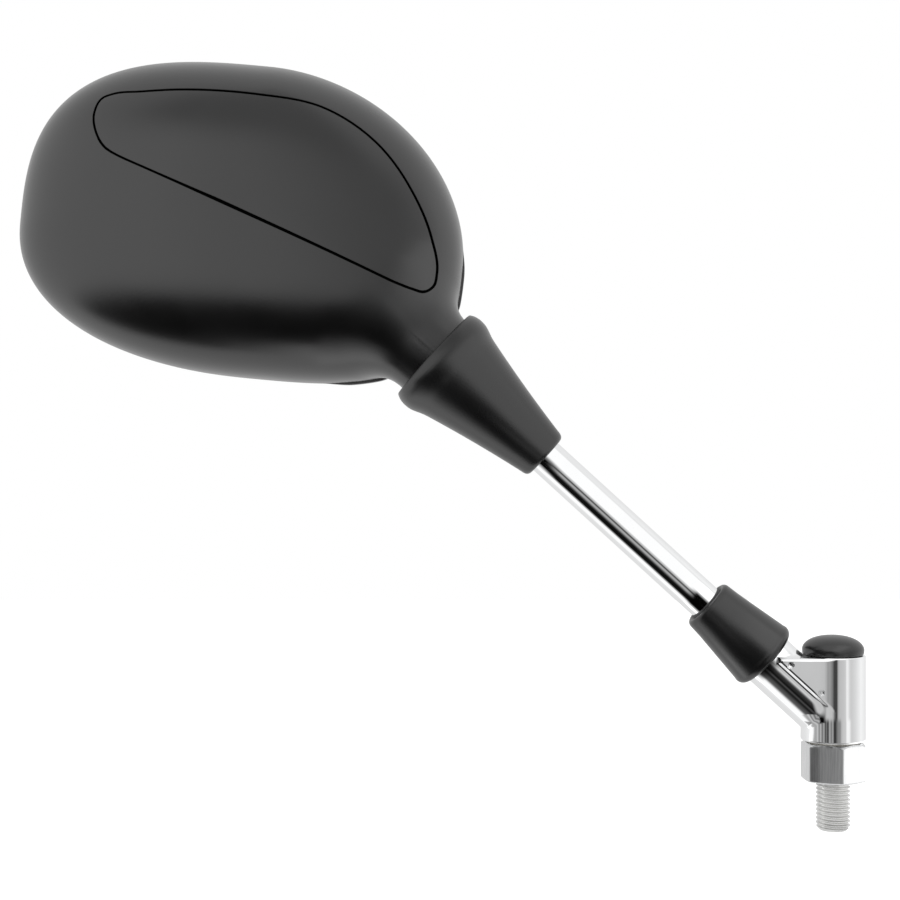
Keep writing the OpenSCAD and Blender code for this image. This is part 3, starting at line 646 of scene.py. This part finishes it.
def bracketDistance(p):
    b = bracket
    x, y, z = p[..., 0], p[..., 1], p[..., 2]
    fromAxis = np.hypot(x, y)
    sleeve = rodDistance(fromAxis, z, b["sleeveR"], b["sleeveFoot"], b["sleeveTop"], b["edge"])
    along = x * axisDir[0] + (z - cad["crossZ"]) * axisDir[2]
    rise = x * sideDir[0] + (z - cad["crossZ"]) * sideDir[2]
    fromStem = np.hypot(rise, y)
    arm = rodDistance(fromStem, along, b["armR"], 0, b["armL"], b["edge"])
    side, round_ = np.abs(y) - b["webHalf"], b["webRound"]
    sheet = np.maximum.reduce([b["webRise"] - rise, -b["webReach"] - x, z - b["webTop"], x + b["webEnd"]])
    u, v = np.maximum(sheet + round_, 0), np.maximum(side + round_, 0)
    web = np.minimum(np.maximum(sheet, side) + round_, 0) + np.hypot(u, v) - round_
    solid = merged(merged(arm, web, 2 * b["fillet"]), sleeve, 2 * b["crease"])
    solid = np.maximum(solid, b["sleeveFoot"] - z)
    hollow = np.minimum(fromAxis - b["boreR"], np.maximum(fromAxis - b["counterR"], b["counterFoot"] - z))
    hollow = np.minimum(hollow, np.maximum(fromAxis - b["footR"], z - b["footTop"]))
    hollow = np.minimum(hollow, np.maximum(fromStem - b["stemBoreR"], b["stemBoreFrom"] - along))
    for dx, dz in b["dimples"]:
        deep = np.abs(y) - b["webHalf"] - b["dimpleOut"]
        hollow = np.minimum(hollow, np.sqrt((x - dx) ** 2 + deep ** 2 + (z - dz) ** 2) - b["dimpleR"])
    return np.maximum(solid, -hollow)


# the skin where a distance is nought, one corner in each cell that it crosses
def netOf(distance, low, high, cell):
    axes = [np.arange(a, c + cell, cell) for a, c in zip(low, high)]
    grid = np.stack(np.meshgrid(*axes, indexing="ij"), 3)
    value = distance(grid)
    inside = value < 0
    n = np.array(inside.shape) - 1
    total, count = np.zeros((*n, 3)), np.zeros(tuple(n))
    for axis in range(3):
        near = [slice(None)] * 3
        far = [slice(None)] * 3
        near[axis], far[axis] = slice(0, -1), slice(1, None)
        near, far = tuple(near), tuple(far)
        crosses = inside[near] != inside[far]
        share = np.where(crosses, value[near] / np.where(crosses, value[near] - value[far], 1), 0)
        point = grid[near].copy()
        point[..., axis] += share * cell
        others = [k for k in range(3) if k != axis]
        for i in (0, 1):
            for j in (0, 1):
                cut = [slice(None)] * 3
                cut[others[0]], cut[others[1]] = slice(i, i + n[others[0]]), slice(j, j + n[others[1]])
                cut = tuple(cut)
                total += np.where(crosses[cut][..., None], point[cut], 0)
                count += crosses[cut]
    used = count > 0
    index = np.full(tuple(n), -1)
    index[used] = np.arange(used.sum())
    points = total[used] / count[used][:, None]
    faces = []
    for axis in range(3):
        near = [slice(1, -1)] * 3
        far = [slice(1, -1)] * 3
        near[axis], far[axis] = slice(0, -1), slice(1, None)
        hit = np.argwhere(inside[tuple(near)] != inside[tuple(far)])
        shift = np.ones(3, int)
        shift[axis] = 0
        hit = hit + shift
        b, c = [k for k in range(3) if k != axis]
        corners = []
        for i, j in ((-1, -1), (0, -1), (0, 0), (-1, 0)):
            at = hit.copy()
            at[:, b] += i
            at[:, c] += j
            corners.append(index[at[:, 0], at[:, 1], at[:, 2]])
        quad = np.stack(corners, 1)
        flip = inside[hit[:, 0], hit[:, 1], hit[:, 2]] == (axis == 1)
        quad[flip] = quad[flip][:, ::-1]
        faces.append(quad)
    return points, np.concatenate(faces)


points, faces = netOf(bracketDistance, (-33.5, -10.5, 11.2), (10.5, 10.5, 50.5), bracket["cell"])
for _ in range(3):  # draws the corners onto the skin itself
    step = bracketDistance(points)[:, None] * slopeOf(bracketDistance, points)
    points = points - np.clip(step, -0.5 * bracket["cell"], 0.5 * bracket["cell"])
casting = makePiece("bracketCasting", points, faces.tolist(), chrome, "arm", ["bracket"], sharp=None,
                    outward=False)
casting.data.normals_split_custom_set_from_vertices(slopeOf(bracketDistance, points, 0.06).tolist())
print("bracket", len(points), "corners")


# stem: tube with its threaded end inside the arm
stem = {"start": 17.5, "shoulder": 41.4, "end": 146.0, "radius": 5.4, "threadR": 5.0, "bore": 4.0}
profile = rounded([(stem["bore"], stem["start"]), (stem["threadR"], stem["start"], 0.4),
                   (stem["threadR"], stem["shoulder"]), (stem["radius"], stem["shoulder"], 0.3),
                   (stem["radius"], stem["end"], 0.5), (stem["bore"], stem["end"])], 4)
points, faces = turned(profile, crossing, axisDir, 160)
makePiece("stemTube", points, faces, chrome, "arm", ["stem"])

# small boot over the arm's end
smallBoot = {"start": 26.7, "length": 24.3, "footR": 10.75, "topR": 8.15, "armR": 8.3, "gripR": 5.5,
             "footIn": 1.9, "footUp": 2.1, "topIn": 1.15, "topUp": 1.6}
b = smallBoot
profile = [(b["armR"], 0), (b["footR"] - b["footIn"], 0)]
for a in range(0, 91, 10):
    outwards, up = math.sin(math.radians(a)), math.cos(math.radians(a))
    profile.append((b["footR"] - b["footIn"] + b["footIn"] * outwards, b["footUp"] - b["footUp"] * up))
profile += [(b["footR"] - 0.04, 2.5), (b["footR"] - 0.15, 2.8)]
for k in range(1, 25):
    t = k / 24
    profile.append((b["footR"] - 0.15 + (b["topR"] + 0.32 - b["footR"] + 0.15) * t, 2.8 + (b["length"] - 8.0) * t))
for a in range(0, 181, 12):
    outwards, up = math.cos(math.radians(a)), math.sin(math.radians(a))
    profile.append((b["topR"] - b["topIn"] + b["topIn"] * outwards, b["length"] - b["topUp"] + b["topUp"] * up))
profile += [(b["gripR"] + 0.5, b["length"] - 2.4), (b["gripR"], b["length"] - 3), (b["gripR"], 17.5), (b["armR"], 15.3)]
points, faces = turned(profile, crossing + axisDir * b["start"], axisDir, 160)
makePiece("stemBoot", points, faces, rubber, "arm", ["stem_boot"])

# head boot in two halves that meet at the split
boot = {"start": 115.5, "length": 44.8, "split": 29.0, "footH": 2.4, "lipH": 9.0, "topR": 8.1, "lipR": 16.9,
        "gripR": 5.5, "wall": 2.07, "bulge": 0.18}
waist = boot["lipR"] - 1.6
sideH = boot["length"] - boot["footH"] - boot["lipH"]


# the flank between foot and lip as (radius, height), with a slight hollow towards the foot
def bootSide(t):
    widening = (1 - boot["bulge"]) * t + boot["bulge"] * t * t
    return boot["topR"] + (waist - boot["topR"]) * widening, boot["footH"] + sideH * t


splitT = (boot["split"] - boot["footH"]) / sideH
splitR = bootSide(splitT)[0]
grip, foot = boot["gripR"], boot["topR"]
lower = [(grip, 0.35), (grip + 0.3, 0.0), (foot - 1.75, 0.0), (foot - 1.2, 0.1), (foot - 0.7, 0.42), (foot - 0.35, 0.9),
         (foot - 0.12, 1.6)]
lower += [bootSide(splitT * k / 30) for k in range(31)]
lower += [(splitR - boot["wall"], boot["split"])]
for k in range(9, 2, -1):
    r, h = bootSide(splitT * k / 10)
    lower.append((r - boot["wall"], h))
lower += [(boot["gripR"], 5.5)]
points, faces = turned(lower, crossing + axisDir * boot["start"], axisDir, 200)
lowerBoot = makePiece("headBootLower", points, faces, rubber, None, ["head_boot"])
upper = [(splitR, boot["split"])]
upper += [bootSide(splitT + (1 - splitT) * k / 24) for k in range(1, 25)]
L = boot["length"]
neckHole = cad["neckR"] + 0.9
upper += [(waist, L - 9.0), (16.05, L - 7.6), (16.5, L - 6.5), (16.78, L - 5.4), (boot["lipR"], L - 4.2),
          (16.86, L - 3.2), (16.7, L - 2.3), (16.45, L - 1.4), (16.15, L - 0.7), (15.9, L - 0.25), (15.65, L),
          (15.5, L - 0.02), (15.35, L - 0.4), (neckHole, L - 3.1), (13.0, L - 3.2), (13.0, L - 9.7)]
for k in range(9, -1, -1):
    r, h = bootSide(splitT + (1 - splitT) * k / 10)
    upper.append((r - boot["wall"], h - 0.3 * k / 10))

# the outer side is softened from just above the split to the lip
outer = np.array(upper[:next(i for i, c in enumerate(upper) if c[1] > L - 0.8)])
along = np.linspace(boot["split"], outer[-1, 1], 110)
plain = np.interp(along, outer[:, 1], outer[:, 0])
soft = np.array([np.average(plain, weights=np.exp(-((along - a) / 1.5) ** 2)) for a in along])
share = np.clip((along - boot["split"] - 1) / 3, 0, 1) * np.clip((L - 1.2 - along) / 3, 0, 1)
upper = list(zip(plain + (soft - plain) * share, along)) + upper[len(outer):]
points, faces = turned(upper, crossing + axisDir * boot["start"], axisDir, 200)
upperBoot = makePiece("headBootUpper", points, faces, rubber, None, ["head_boot"])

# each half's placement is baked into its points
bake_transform(lowerBoot)
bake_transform(upperBoot)

# pivot cap: low dome with a thin edge over the sleeve
cap = {"foot": 37.25, "radius": 9.05, "edge": 1.5, "height": 5.8, "plugR": 8.15, "plugFoot": 34.7}
plugTop, rim, foot = cap["plugFoot"] + 1.6, cap["radius"], cap["foot"]
profile = [(0, plugTop), (6, plugTop), (6, cap["plugFoot"]), (cap["plugR"], cap["plugFoot"]), (cap["plugR"], foot),
           (rim - 0.7, foot), (rim - 0.3, foot + 0.15), (rim - 0.08, foot + 0.6)]
for a in range(0, 90, 3):
    up = (cap["height"] - cap["edge"]) * math.sin(math.radians(a))
    profile.append((rim * math.cos(math.radians(a)) ** 0.9, foot + cap["edge"] + up))
profile.append((0, foot + cap["height"]))
points, faces = turned(profile, (0, 0, 0), (0, 0, 1), 144, closed=False)
makePiece("pivotCap", points, faces, rubber, "arm", ["pivot_cap"])

# stud: bevelled hexagon, pivot shaft and thread
stud = {"flats": 17.0, "height": 11.7, "turn": -26.0, "faceR": 8.15, "slope": 30.0, "shaftR": 6.0, "shaftTop": 25.95,
        "tailR": 3.95, "tailTop": 35.4, "threadR": 5.0, "pitch": 1.25, "threadL": 14.6, "depth": 0.72}


# a hexagon with slightly rounded corners: the higher the power, the sharper
def hexRadius(angles, power=55.0):
    total = np.zeros(angles.shape)
    for k in range(6):
        total += np.maximum(0, np.cos(angles - math.radians(stud["turn"] + 30 + 60 * k))) ** power
    return stud["flats"] / 2 / total ** (1 / power)


angles = np.linspace(0, 2 * math.pi, 480, endpoint=False)
hexR = hexRadius(angles)
drop = (hexR - stud["faceR"]) * math.tan(math.radians(stud["slope"]))


def ringRow(radius, z):
    radius = np.broadcast_to(radius, angles.shape)
    return np.stack([radius * np.cos(angles), radius * np.sin(angles), np.broadcast_to(z, angles.shape)], 1)


top, faceR, shaftTop, tailTop = stud["height"], stud["faceR"], stud["shaftTop"], stud["tailTop"]
halfR = faceR + (hexR - faceR) * 0.5
low = drop * 0.3
rows = [ringRow(4.6, 0.0), ringRow(faceR - 0.25, 0.0), ringRow(faceR - 0.05, 0.03)]
rows += [ringRow(halfR, 0.05 + low * 0.5), ringRow(hexR - 0.15, 0.06 + low), ringRow(hexR - 0.04, low + 0.2)]
rows += [ringRow(hexR, low + 0.42), ringRow(hexR, top / 2), ringRow(hexR, top - drop - 0.3)]
rows += [ringRow(hexR - 0.03, top - drop - 0.12), ringRow(hexR - 0.12, top - drop)]
rows += [ringRow(halfR, top - 0.07 - drop * 0.5), ringRow(faceR - 0.05, top - 0.03), ringRow(faceR - 0.25, top)]
rows += [ringRow(stud["shaftR"], top), ringRow(stud["shaftR"], shaftTop)]
rows += [ringRow(stud["tailR"], shaftTop), ringRow(stud["tailR"], tailTop - 0.5)]
rows += [ringRow(stud["tailR"] - 0.55, tailTop)]
points, faces = skin(rows, [0, 0, 0], [0, 0, tailTop])
makePiece("studHexagon", points, faces, brushed, "stud", ["mounting_stud"], sharp=40)


# left-hand thread: its lines fall to the right; flat crests, a chamfered end and a runout under the hexagon
def threadRadius(z, a):
    phase = np.mod(z / stud["pitch"] + a / (2 * math.pi), 1)
    shape = np.clip((np.abs(phase * 2 - 1) - 0.14) / 0.68, 0, 1)
    shape = shape * 0.7 + 0.3 * smooth(shape)
    radius = np.minimum(stud["threadR"] - stud["depth"] * shape, stud["threadR"] - 1.1 + z + stud["threadL"])
    return radius + (stud["threadR"] - 0.55 - radius) * np.clip((z + 0.9) / 0.6, 0, 1)


threadRows = int(stud["threadL"] / stud["pitch"] * 24)
angles = np.linspace(0, 2 * math.pi, 144, endpoint=False)
levels = -stud["threadL"] + (stud["threadL"] + 0.2) * np.arange(threadRows + 1) / threadRows
rows = [ringRow(threadRadius(z, angles), z) for z in levels]
points, faces = skin(rows, [0, 0, -stud["threadL"]], [0, 0, 0.2])
thread = makePiece("studThread", points, faces, made["threadZinc"], "stud", ["mounting_stud"], sharp=None)
zz, aa = np.meshgrid(levels, angles, indexing="ij")
rise = (threadRadius(zz + 0.03, aa) - threadRadius(zz - 0.03, aa)) / 0.06
swing = (threadRadius(zz, aa + 0.01) - threadRadius(zz, aa - 0.01)) / 0.02 / threadRadius(zz, aa)
normals = np.stack([np.cos(aa) + swing * np.sin(aa), np.sin(aa) - swing * np.cos(aa), -rise], 2).reshape(-1, 3)
normals = np.concatenate([normals, np.zeros((2, 3))])
normals[:len(angles)] = 0
normals = normals / np.maximum(np.linalg.norm(normals, axis=1), 1e-9)[:, None]
thread.data.normals_split_custom_set_from_vertices(normals.tolist())
print("mount made")

# studio: white world, pale floor, and a round screen of soft grey and dark cards for the reflections
studio = {"level": 1.0, "floorZ": -0.72, "floorGlow": 0.4, "screenR": 0.8, "screenX": -0.11, "screenZ": 0.11}
world = bpy.data.worlds.new("studioWorld")
scene.world = world
world.use_nodes = True
world.node_tree.nodes["Background"].inputs["Color"].default_value = (1, 1, 1, 1)
world.node_tree.nodes["Background"].inputs["Strength"].default_value = studio["level"]


def flatMesh(name, corners, mat):
    mesh = bpy.data.meshes.new(name)
    mesh.from_pydata(corners, [], [tuple(range(len(corners)))])
    mesh.materials.append(mat)
    flat = bpy.data.objects.new(name, mesh)
    scene.collection.objects.link(flat)
    return flat


# pale and matt, with a glow that only the camera, gloss and glass see, so that it keeps the shadow
def floorMaterial():
    mat, tree, shader = newMaterial("paleFloor")
    shader.inputs["Base Color"].default_value = (0.8, 0.8, 0.8, 1)
    shader.inputs["Roughness"].default_value = 0.9
    path = tree.nodes.new("ShaderNodeLightPath")
    white = newNode(tree, "ShaderNodeEmission", {"Color": (1, 1, 1, 1)})
    most, more = [newNode(tree, "ShaderNodeMath", {}, "MAXIMUM") for _ in range(2)]
    tree.links.new(path.outputs["Is Camera Ray"], most.inputs[0])
    tree.links.new(path.outputs["Is Glossy Ray"], most.inputs[1])
    tree.links.new(most.outputs[0], more.inputs[0])
    tree.links.new(path.outputs["Is Transmission Ray"], more.inputs[1])
    scaled = newNode(tree, "ShaderNodeMath", {1: studio["floorGlow"]}, "MULTIPLY")
    tree.links.new(more.outputs[0], scaled.inputs[0])
    tree.links.new(scaled.outputs[0], white.inputs["Strength"])
    both = tree.nodes.new("ShaderNodeAddShader")
    tree.links.new(shader.outputs[0], both.inputs[0])
    tree.links.new(white.outputs[0], both.inputs[1])
    tree.links.new(both.outputs[0], tree.nodes["Material Output"].inputs["Surface"])
    return mat


floorCorners = [(x, y, studio["floorZ"]) for x, y in ((-6, -6), (6, -6), (6, 9), (-6, 9))]
floor = flatMesh("floor", floorCorners, floorMaterial())


# brightness of the screen by azimuth, 0 towards the camera and 90 to the right, and elevation
def screenShade(azimuth, elevation):
    shade = np.interp(azimuth, [-180, -130, -95, -70, -28, 0, 25, 50, 75, 100, 130, 180],
                      [0.76, 0.80, 0.95, 1.0, 1.0, 0.78, 0.62, 0.56, 0.72, 0.95, 0.84, 0.76])
    high = eased(elevation, 25, 50)
    shade = shade * (1 - high) + high * (0.54 + 0.28 * eased(np.abs(azimuth), 30, 60))
    under = eased(-elevation, 70, 85)
    shade = shade * (1 - under) + under
    front = 1 - eased(np.abs(azimuth), 92, 118)
    gap = eased(-elevation, 29, 42) * (1 - eased(-elevation, 70, 78)) * front
    shade = shade * (1 - gap) + 0.002 * gap
    return shade


# glows by the corners' shades, and lets light through where they don't cover
def shadeFinish():
    mat, tree, shader = newMaterial("screenShade")
    tree.nodes.remove(shader)
    shade, cover = [tree.nodes.new("ShaderNodeAttribute") for _ in range(2)]
    shade.attribute_name, cover.attribute_name = "shade", "cover"
    glow = tree.nodes.new("ShaderNodeEmission")
    tree.links.new(shade.outputs["Fac"], glow.inputs["Color"])
    clear, mix = tree.nodes.new("ShaderNodeBsdfTransparent"), tree.nodes.new("ShaderNodeMixShader")
    tree.links.new(cover.outputs["Fac"], mix.inputs[0])
    tree.links.new(clear.outputs[0], mix.inputs[1])
    tree.links.new(glow.outputs[0], mix.inputs[2])
    tree.links.new(mix.outputs[0], tree.nodes["Material Output"].inputs["Surface"])
    return mat


# a grid of corners that glows by its shade and shows in reflections only
def glowingGrid(name, corners, shades, covers, closed, mat):
    corners = np.asarray(corners, float)
    rowsAcross, rowsUp = corners.shape[:2]
    cells = []
    for i in range(rowsAcross if closed else rowsAcross - 1):
        for k in range(rowsUp - 1):
            a, b = i * rowsUp + k, ((i + 1) % rowsAcross) * rowsUp + k
            cells.append((a, a + 1, b + 1, b))
    mesh = bpy.data.meshes.new(name)
    mesh.from_pydata(corners.reshape(-1, 3).tolist(), [], cells)
    for field, values in (("shade", shades), ("cover", covers)):
        attribute = mesh.attributes.new(field, "FLOAT", "POINT")
        attribute.data.foreach_set("value", np.asarray(values, np.float32).ravel())
    mesh.materials.append(mat)
    card = bpy.data.objects.new(name, mesh)
    scene.collection.objects.link(card)
    card.visible_camera = False
    card.visible_diffuse = False
    card.visible_shadow = False
    return card


def roundScreen(mat):
    az, el = np.meshgrid(np.linspace(-180, 180, 360, endpoint=False), np.linspace(-90, 90, 181), indexing="ij")
    a, e, r = np.radians(az), np.radians(el), studio["screenR"]
    corners = np.stack([studio["screenX"] + r * np.sin(a) * np.cos(e), -r * np.cos(a) * np.cos(e),
                        studio["screenZ"] + r * np.sin(e)], 2)
    return glowingGrid("roundScreen", corners, screenShade(az, el), np.ones_like(az), True, mat)


# curved cards near the arm; their shades are set at the places across a round surface (-1 to 1) that mirror them
armCard = {"radius": 0.06, "start": -0.015, "end": 0.2, "low": -104, "high": 86, "bend": 1.87, "aim": -1.95}


def acrossShade(degrees, bend, aim, places, shades):
    edges = [bend * math.degrees(math.asin(c)) + aim for c in places]
    return np.interp(degrees, edges, shades)


def stemCard(mat):
    c = armCard
    degrees, along = np.meshgrid(np.linspace(c["low"], c["high"], 300), np.linspace(c["start"], c["end"], 120),
                                 indexing="ij")
    a = np.radians(degrees)
    side = c["radius"] * np.sin(a)
    corners = np.stack([axisDir[0] * along + sideDir[0] * side, -c["radius"] * np.cos(a),
                        mm * cad["crossZ"] + axisDir[2] * along + sideDir[2] * side], 2)

    # what each stretch mirrors, from its upper edge to its lower
    onTube = acrossShade(degrees, c["bend"], c["aim"],
                         [-0.64, -0.60, -0.54, -0.37, -0.31, -0.21, -0.16, -0.12, -0.08, -0.03, 0.03, 0.08],
                         [1.05, 0.4, 0.005, 0.005, 0.06, 0.42, 0.36, 0.07, 0.09, 0.5, 0.7, 1.05])
    onArm = np.interp(degrees,
                      [-76, -70, -66, -61, -55, -50, -44, -41, -37, -34, -30.5, -27, -24, -18, -13, -9, -5, -2, 2,
                       10, 20],
                      [1.05, 0.75, 0.3, 0.1, 0.08, 0.055, 0.018, 0.01, 0.035, 0.07, 0.025, 0.003, 0.012, 0.026,
                       0.04, 0.14, 0.5, 0.68, 0.55, 0.57, 0.9])
    onBoot = acrossShade(degrees, 1.78, c["aim"], [-0.72, -0.6, -0.5, -0.16, -0.02, 0.13],
                         [1.1, 0.45, 0.003, 0.003, 0.25, 1.05])
    onSmall = acrossShade(degrees, 1.8, c["aim"], [-0.78, -0.69, -0.6, 0.03, 0.11, 0.24],
                          [1.9, 0.6, 0.001, 0.001, 0.3, 1.4])
    onNeck = acrossShade(degrees, 1.75, c["aim"], [-0.74, -0.62, 0.2, 0.3, 0.4], [1.0, 0.003, 0.003, 0.35, 0.7])

    # how far along each stretch goes
    small = np.interp(along, [0.012, 0.015, 0.041, 0.044], [0, 1, 1, 0])
    large = np.interp(along, [0.108, 0.114, 0.156, 0.159], [0, 1, 1, 0])
    neck = np.interp(along, [0.156, 0.159], [0, 1])
    tube = np.interp(along, [0.041, 0.044, 0.108, 0.114], [0, 1, 1, 0])
    arm = np.interp(along, [0.012, 0.015], [1, 0])
    shade = small * onSmall + large * onBoot + neck * onNeck + tube * onTube + arm * onArm
    shade = shade * (1 - 0.35 * eased(along, 0.149, 0.156) * eased(degrees, 4, 20))

    # the card's edges fade out, and beside the neck it stops where the housing would mirror it
    whole = eased(degrees, c["low"], -96) * (1 - eased(degrees, 74, c["high"]))
    limit = np.interp(degrees, [-74, -40, -27, -6, 4], [0.186, 0.174, 0.168, 0.163, 0.161])
    beside = eased(degrees, -74, -64) * (1 - eased(degrees, 6, 60)) * (1 - eased(along - limit, -0.003, 0.004))
    cover = eased(along, -0.014, -0.010) * ((1 - neck) * whole + neck * beside)
    return glowingGrid("stemCard", corners, shade, cover, False, mat)


# an upright card round the sleeve, hexagon and thread; "place" is the turn across the sleeve that mirrors a spot
sleeveCard = {"radius": 0.014, "foot": -0.034, "top": 0.0372, "low": -78, "high": 118, "bend": 1.33, "aim": -12.3}


def uprightCard(mat):
    c = sleeveCard
    degrees, z = np.meshgrid(np.linspace(c["low"], c["high"], 420), np.linspace(c["foot"], c["top"], 220),
                             indexing="ij")
    a = np.radians(degrees)
    corners = np.stack([c["radius"] * np.sin(a), -c["radius"] * np.cos(a), z], 2)
    place = (degrees - c["aim"]) / c["bend"]
    upper = np.interp(place, [-8, -2, 0.6, 1.5, 3.2, 5.1, 6.6, 7.7, 8.9, 11.5, 18.3, 22, 24.7, 27.3, 30.3],
                      [0.56, 0.53, 0.4, 0.26, 0.12, 0.06, 0.045, 0.2, 0.42, 0.52, 0.57, 0.62, 0.92, 0.85, 0.7])
    lower = np.interp(place,
                      [-53, -44, -37, -31, -27.5, -25, -22, -19, -16, -13.3, -11, -9.7, -8, -6.4, -4.2, -2.6, -0.4, 1.3,
                       2.4, 4, 6.2, 8.4, 12.7, 14.9, 18.2, 22.6, 24.8],
                      [0.95, 0.9, 0.5, 0.37, 0.6, 0.2, 0.5, 0.14, 0.4, 0.05, 0.2, 0.05, 0.06, 0.4, 0.3, 0.18, 0.4, 0.1,
                       0.03, 0.03, 0.12, 0.23, 0.28, 0.5, 0.58, 0.62, 0.95])
    onSleeve = lower + (upper - lower) * eased(z, 0.0175, 0.0195)
    onHex = np.interp(degrees, [-78, -50, -42, -37, 7, 22, 42], [0.5, 0.12, 0.12, 0.24, 0.3, 0.42, 1.45])
    onThread = np.interp(z, [-0.034, -0.02, -0.014, -0.002], [0.2, 0.2, 0.95, 0.95])
    foot, thread = eased(z, 0.0106, 0.0112), 1 - eased(z, -0.0026, -0.0018)
    shade = foot * onSleeve + thread * onThread + (1 - foot - thread) * onHex

    # the near edge steps back above the arm's foot, so that the arm doesn't mirror the card
    start = np.interp(z, [0.0168, 0.0176], [-60, -30])
    above = eased(degrees - start, -5, 4) * (1 - eased(place, 28.6, 35)) * (1 - eased(z, 0.0362, 0.0372))
    below = eased(degrees, -78, -74) * (1 - eased(degrees, 112, 118)) * eased(z, -0.034, -0.03)
    return glowingGrid("uprightCard", corners, shade, foot * above + (1 - foot) * below, False, mat)


screenMat = shadeFinish()
screens = [roundScreen(screenMat), stemCard(screenMat), uprightCard(screenMat)]

# camera: level, looking along +Y at the back of the head
view = {"lens": 70.0, "sensor": 36.0, "place": (-0.1136, -0.519, 0.0979)}
cameraData = bpy.data.cameras.new("camera")
cameraData.lens = view["lens"]
cameraData.sensor_width = view["sensor"]
camera = bpy.data.objects.new("camera", cameraData)
camera.location = view["place"]
camera.rotation_euler = (math.radians(90), 0, 0)
scene.collection.objects.link(camera)
scene.camera = camera
scene.view_settings.view_transform = "Standard"
print("studio made")
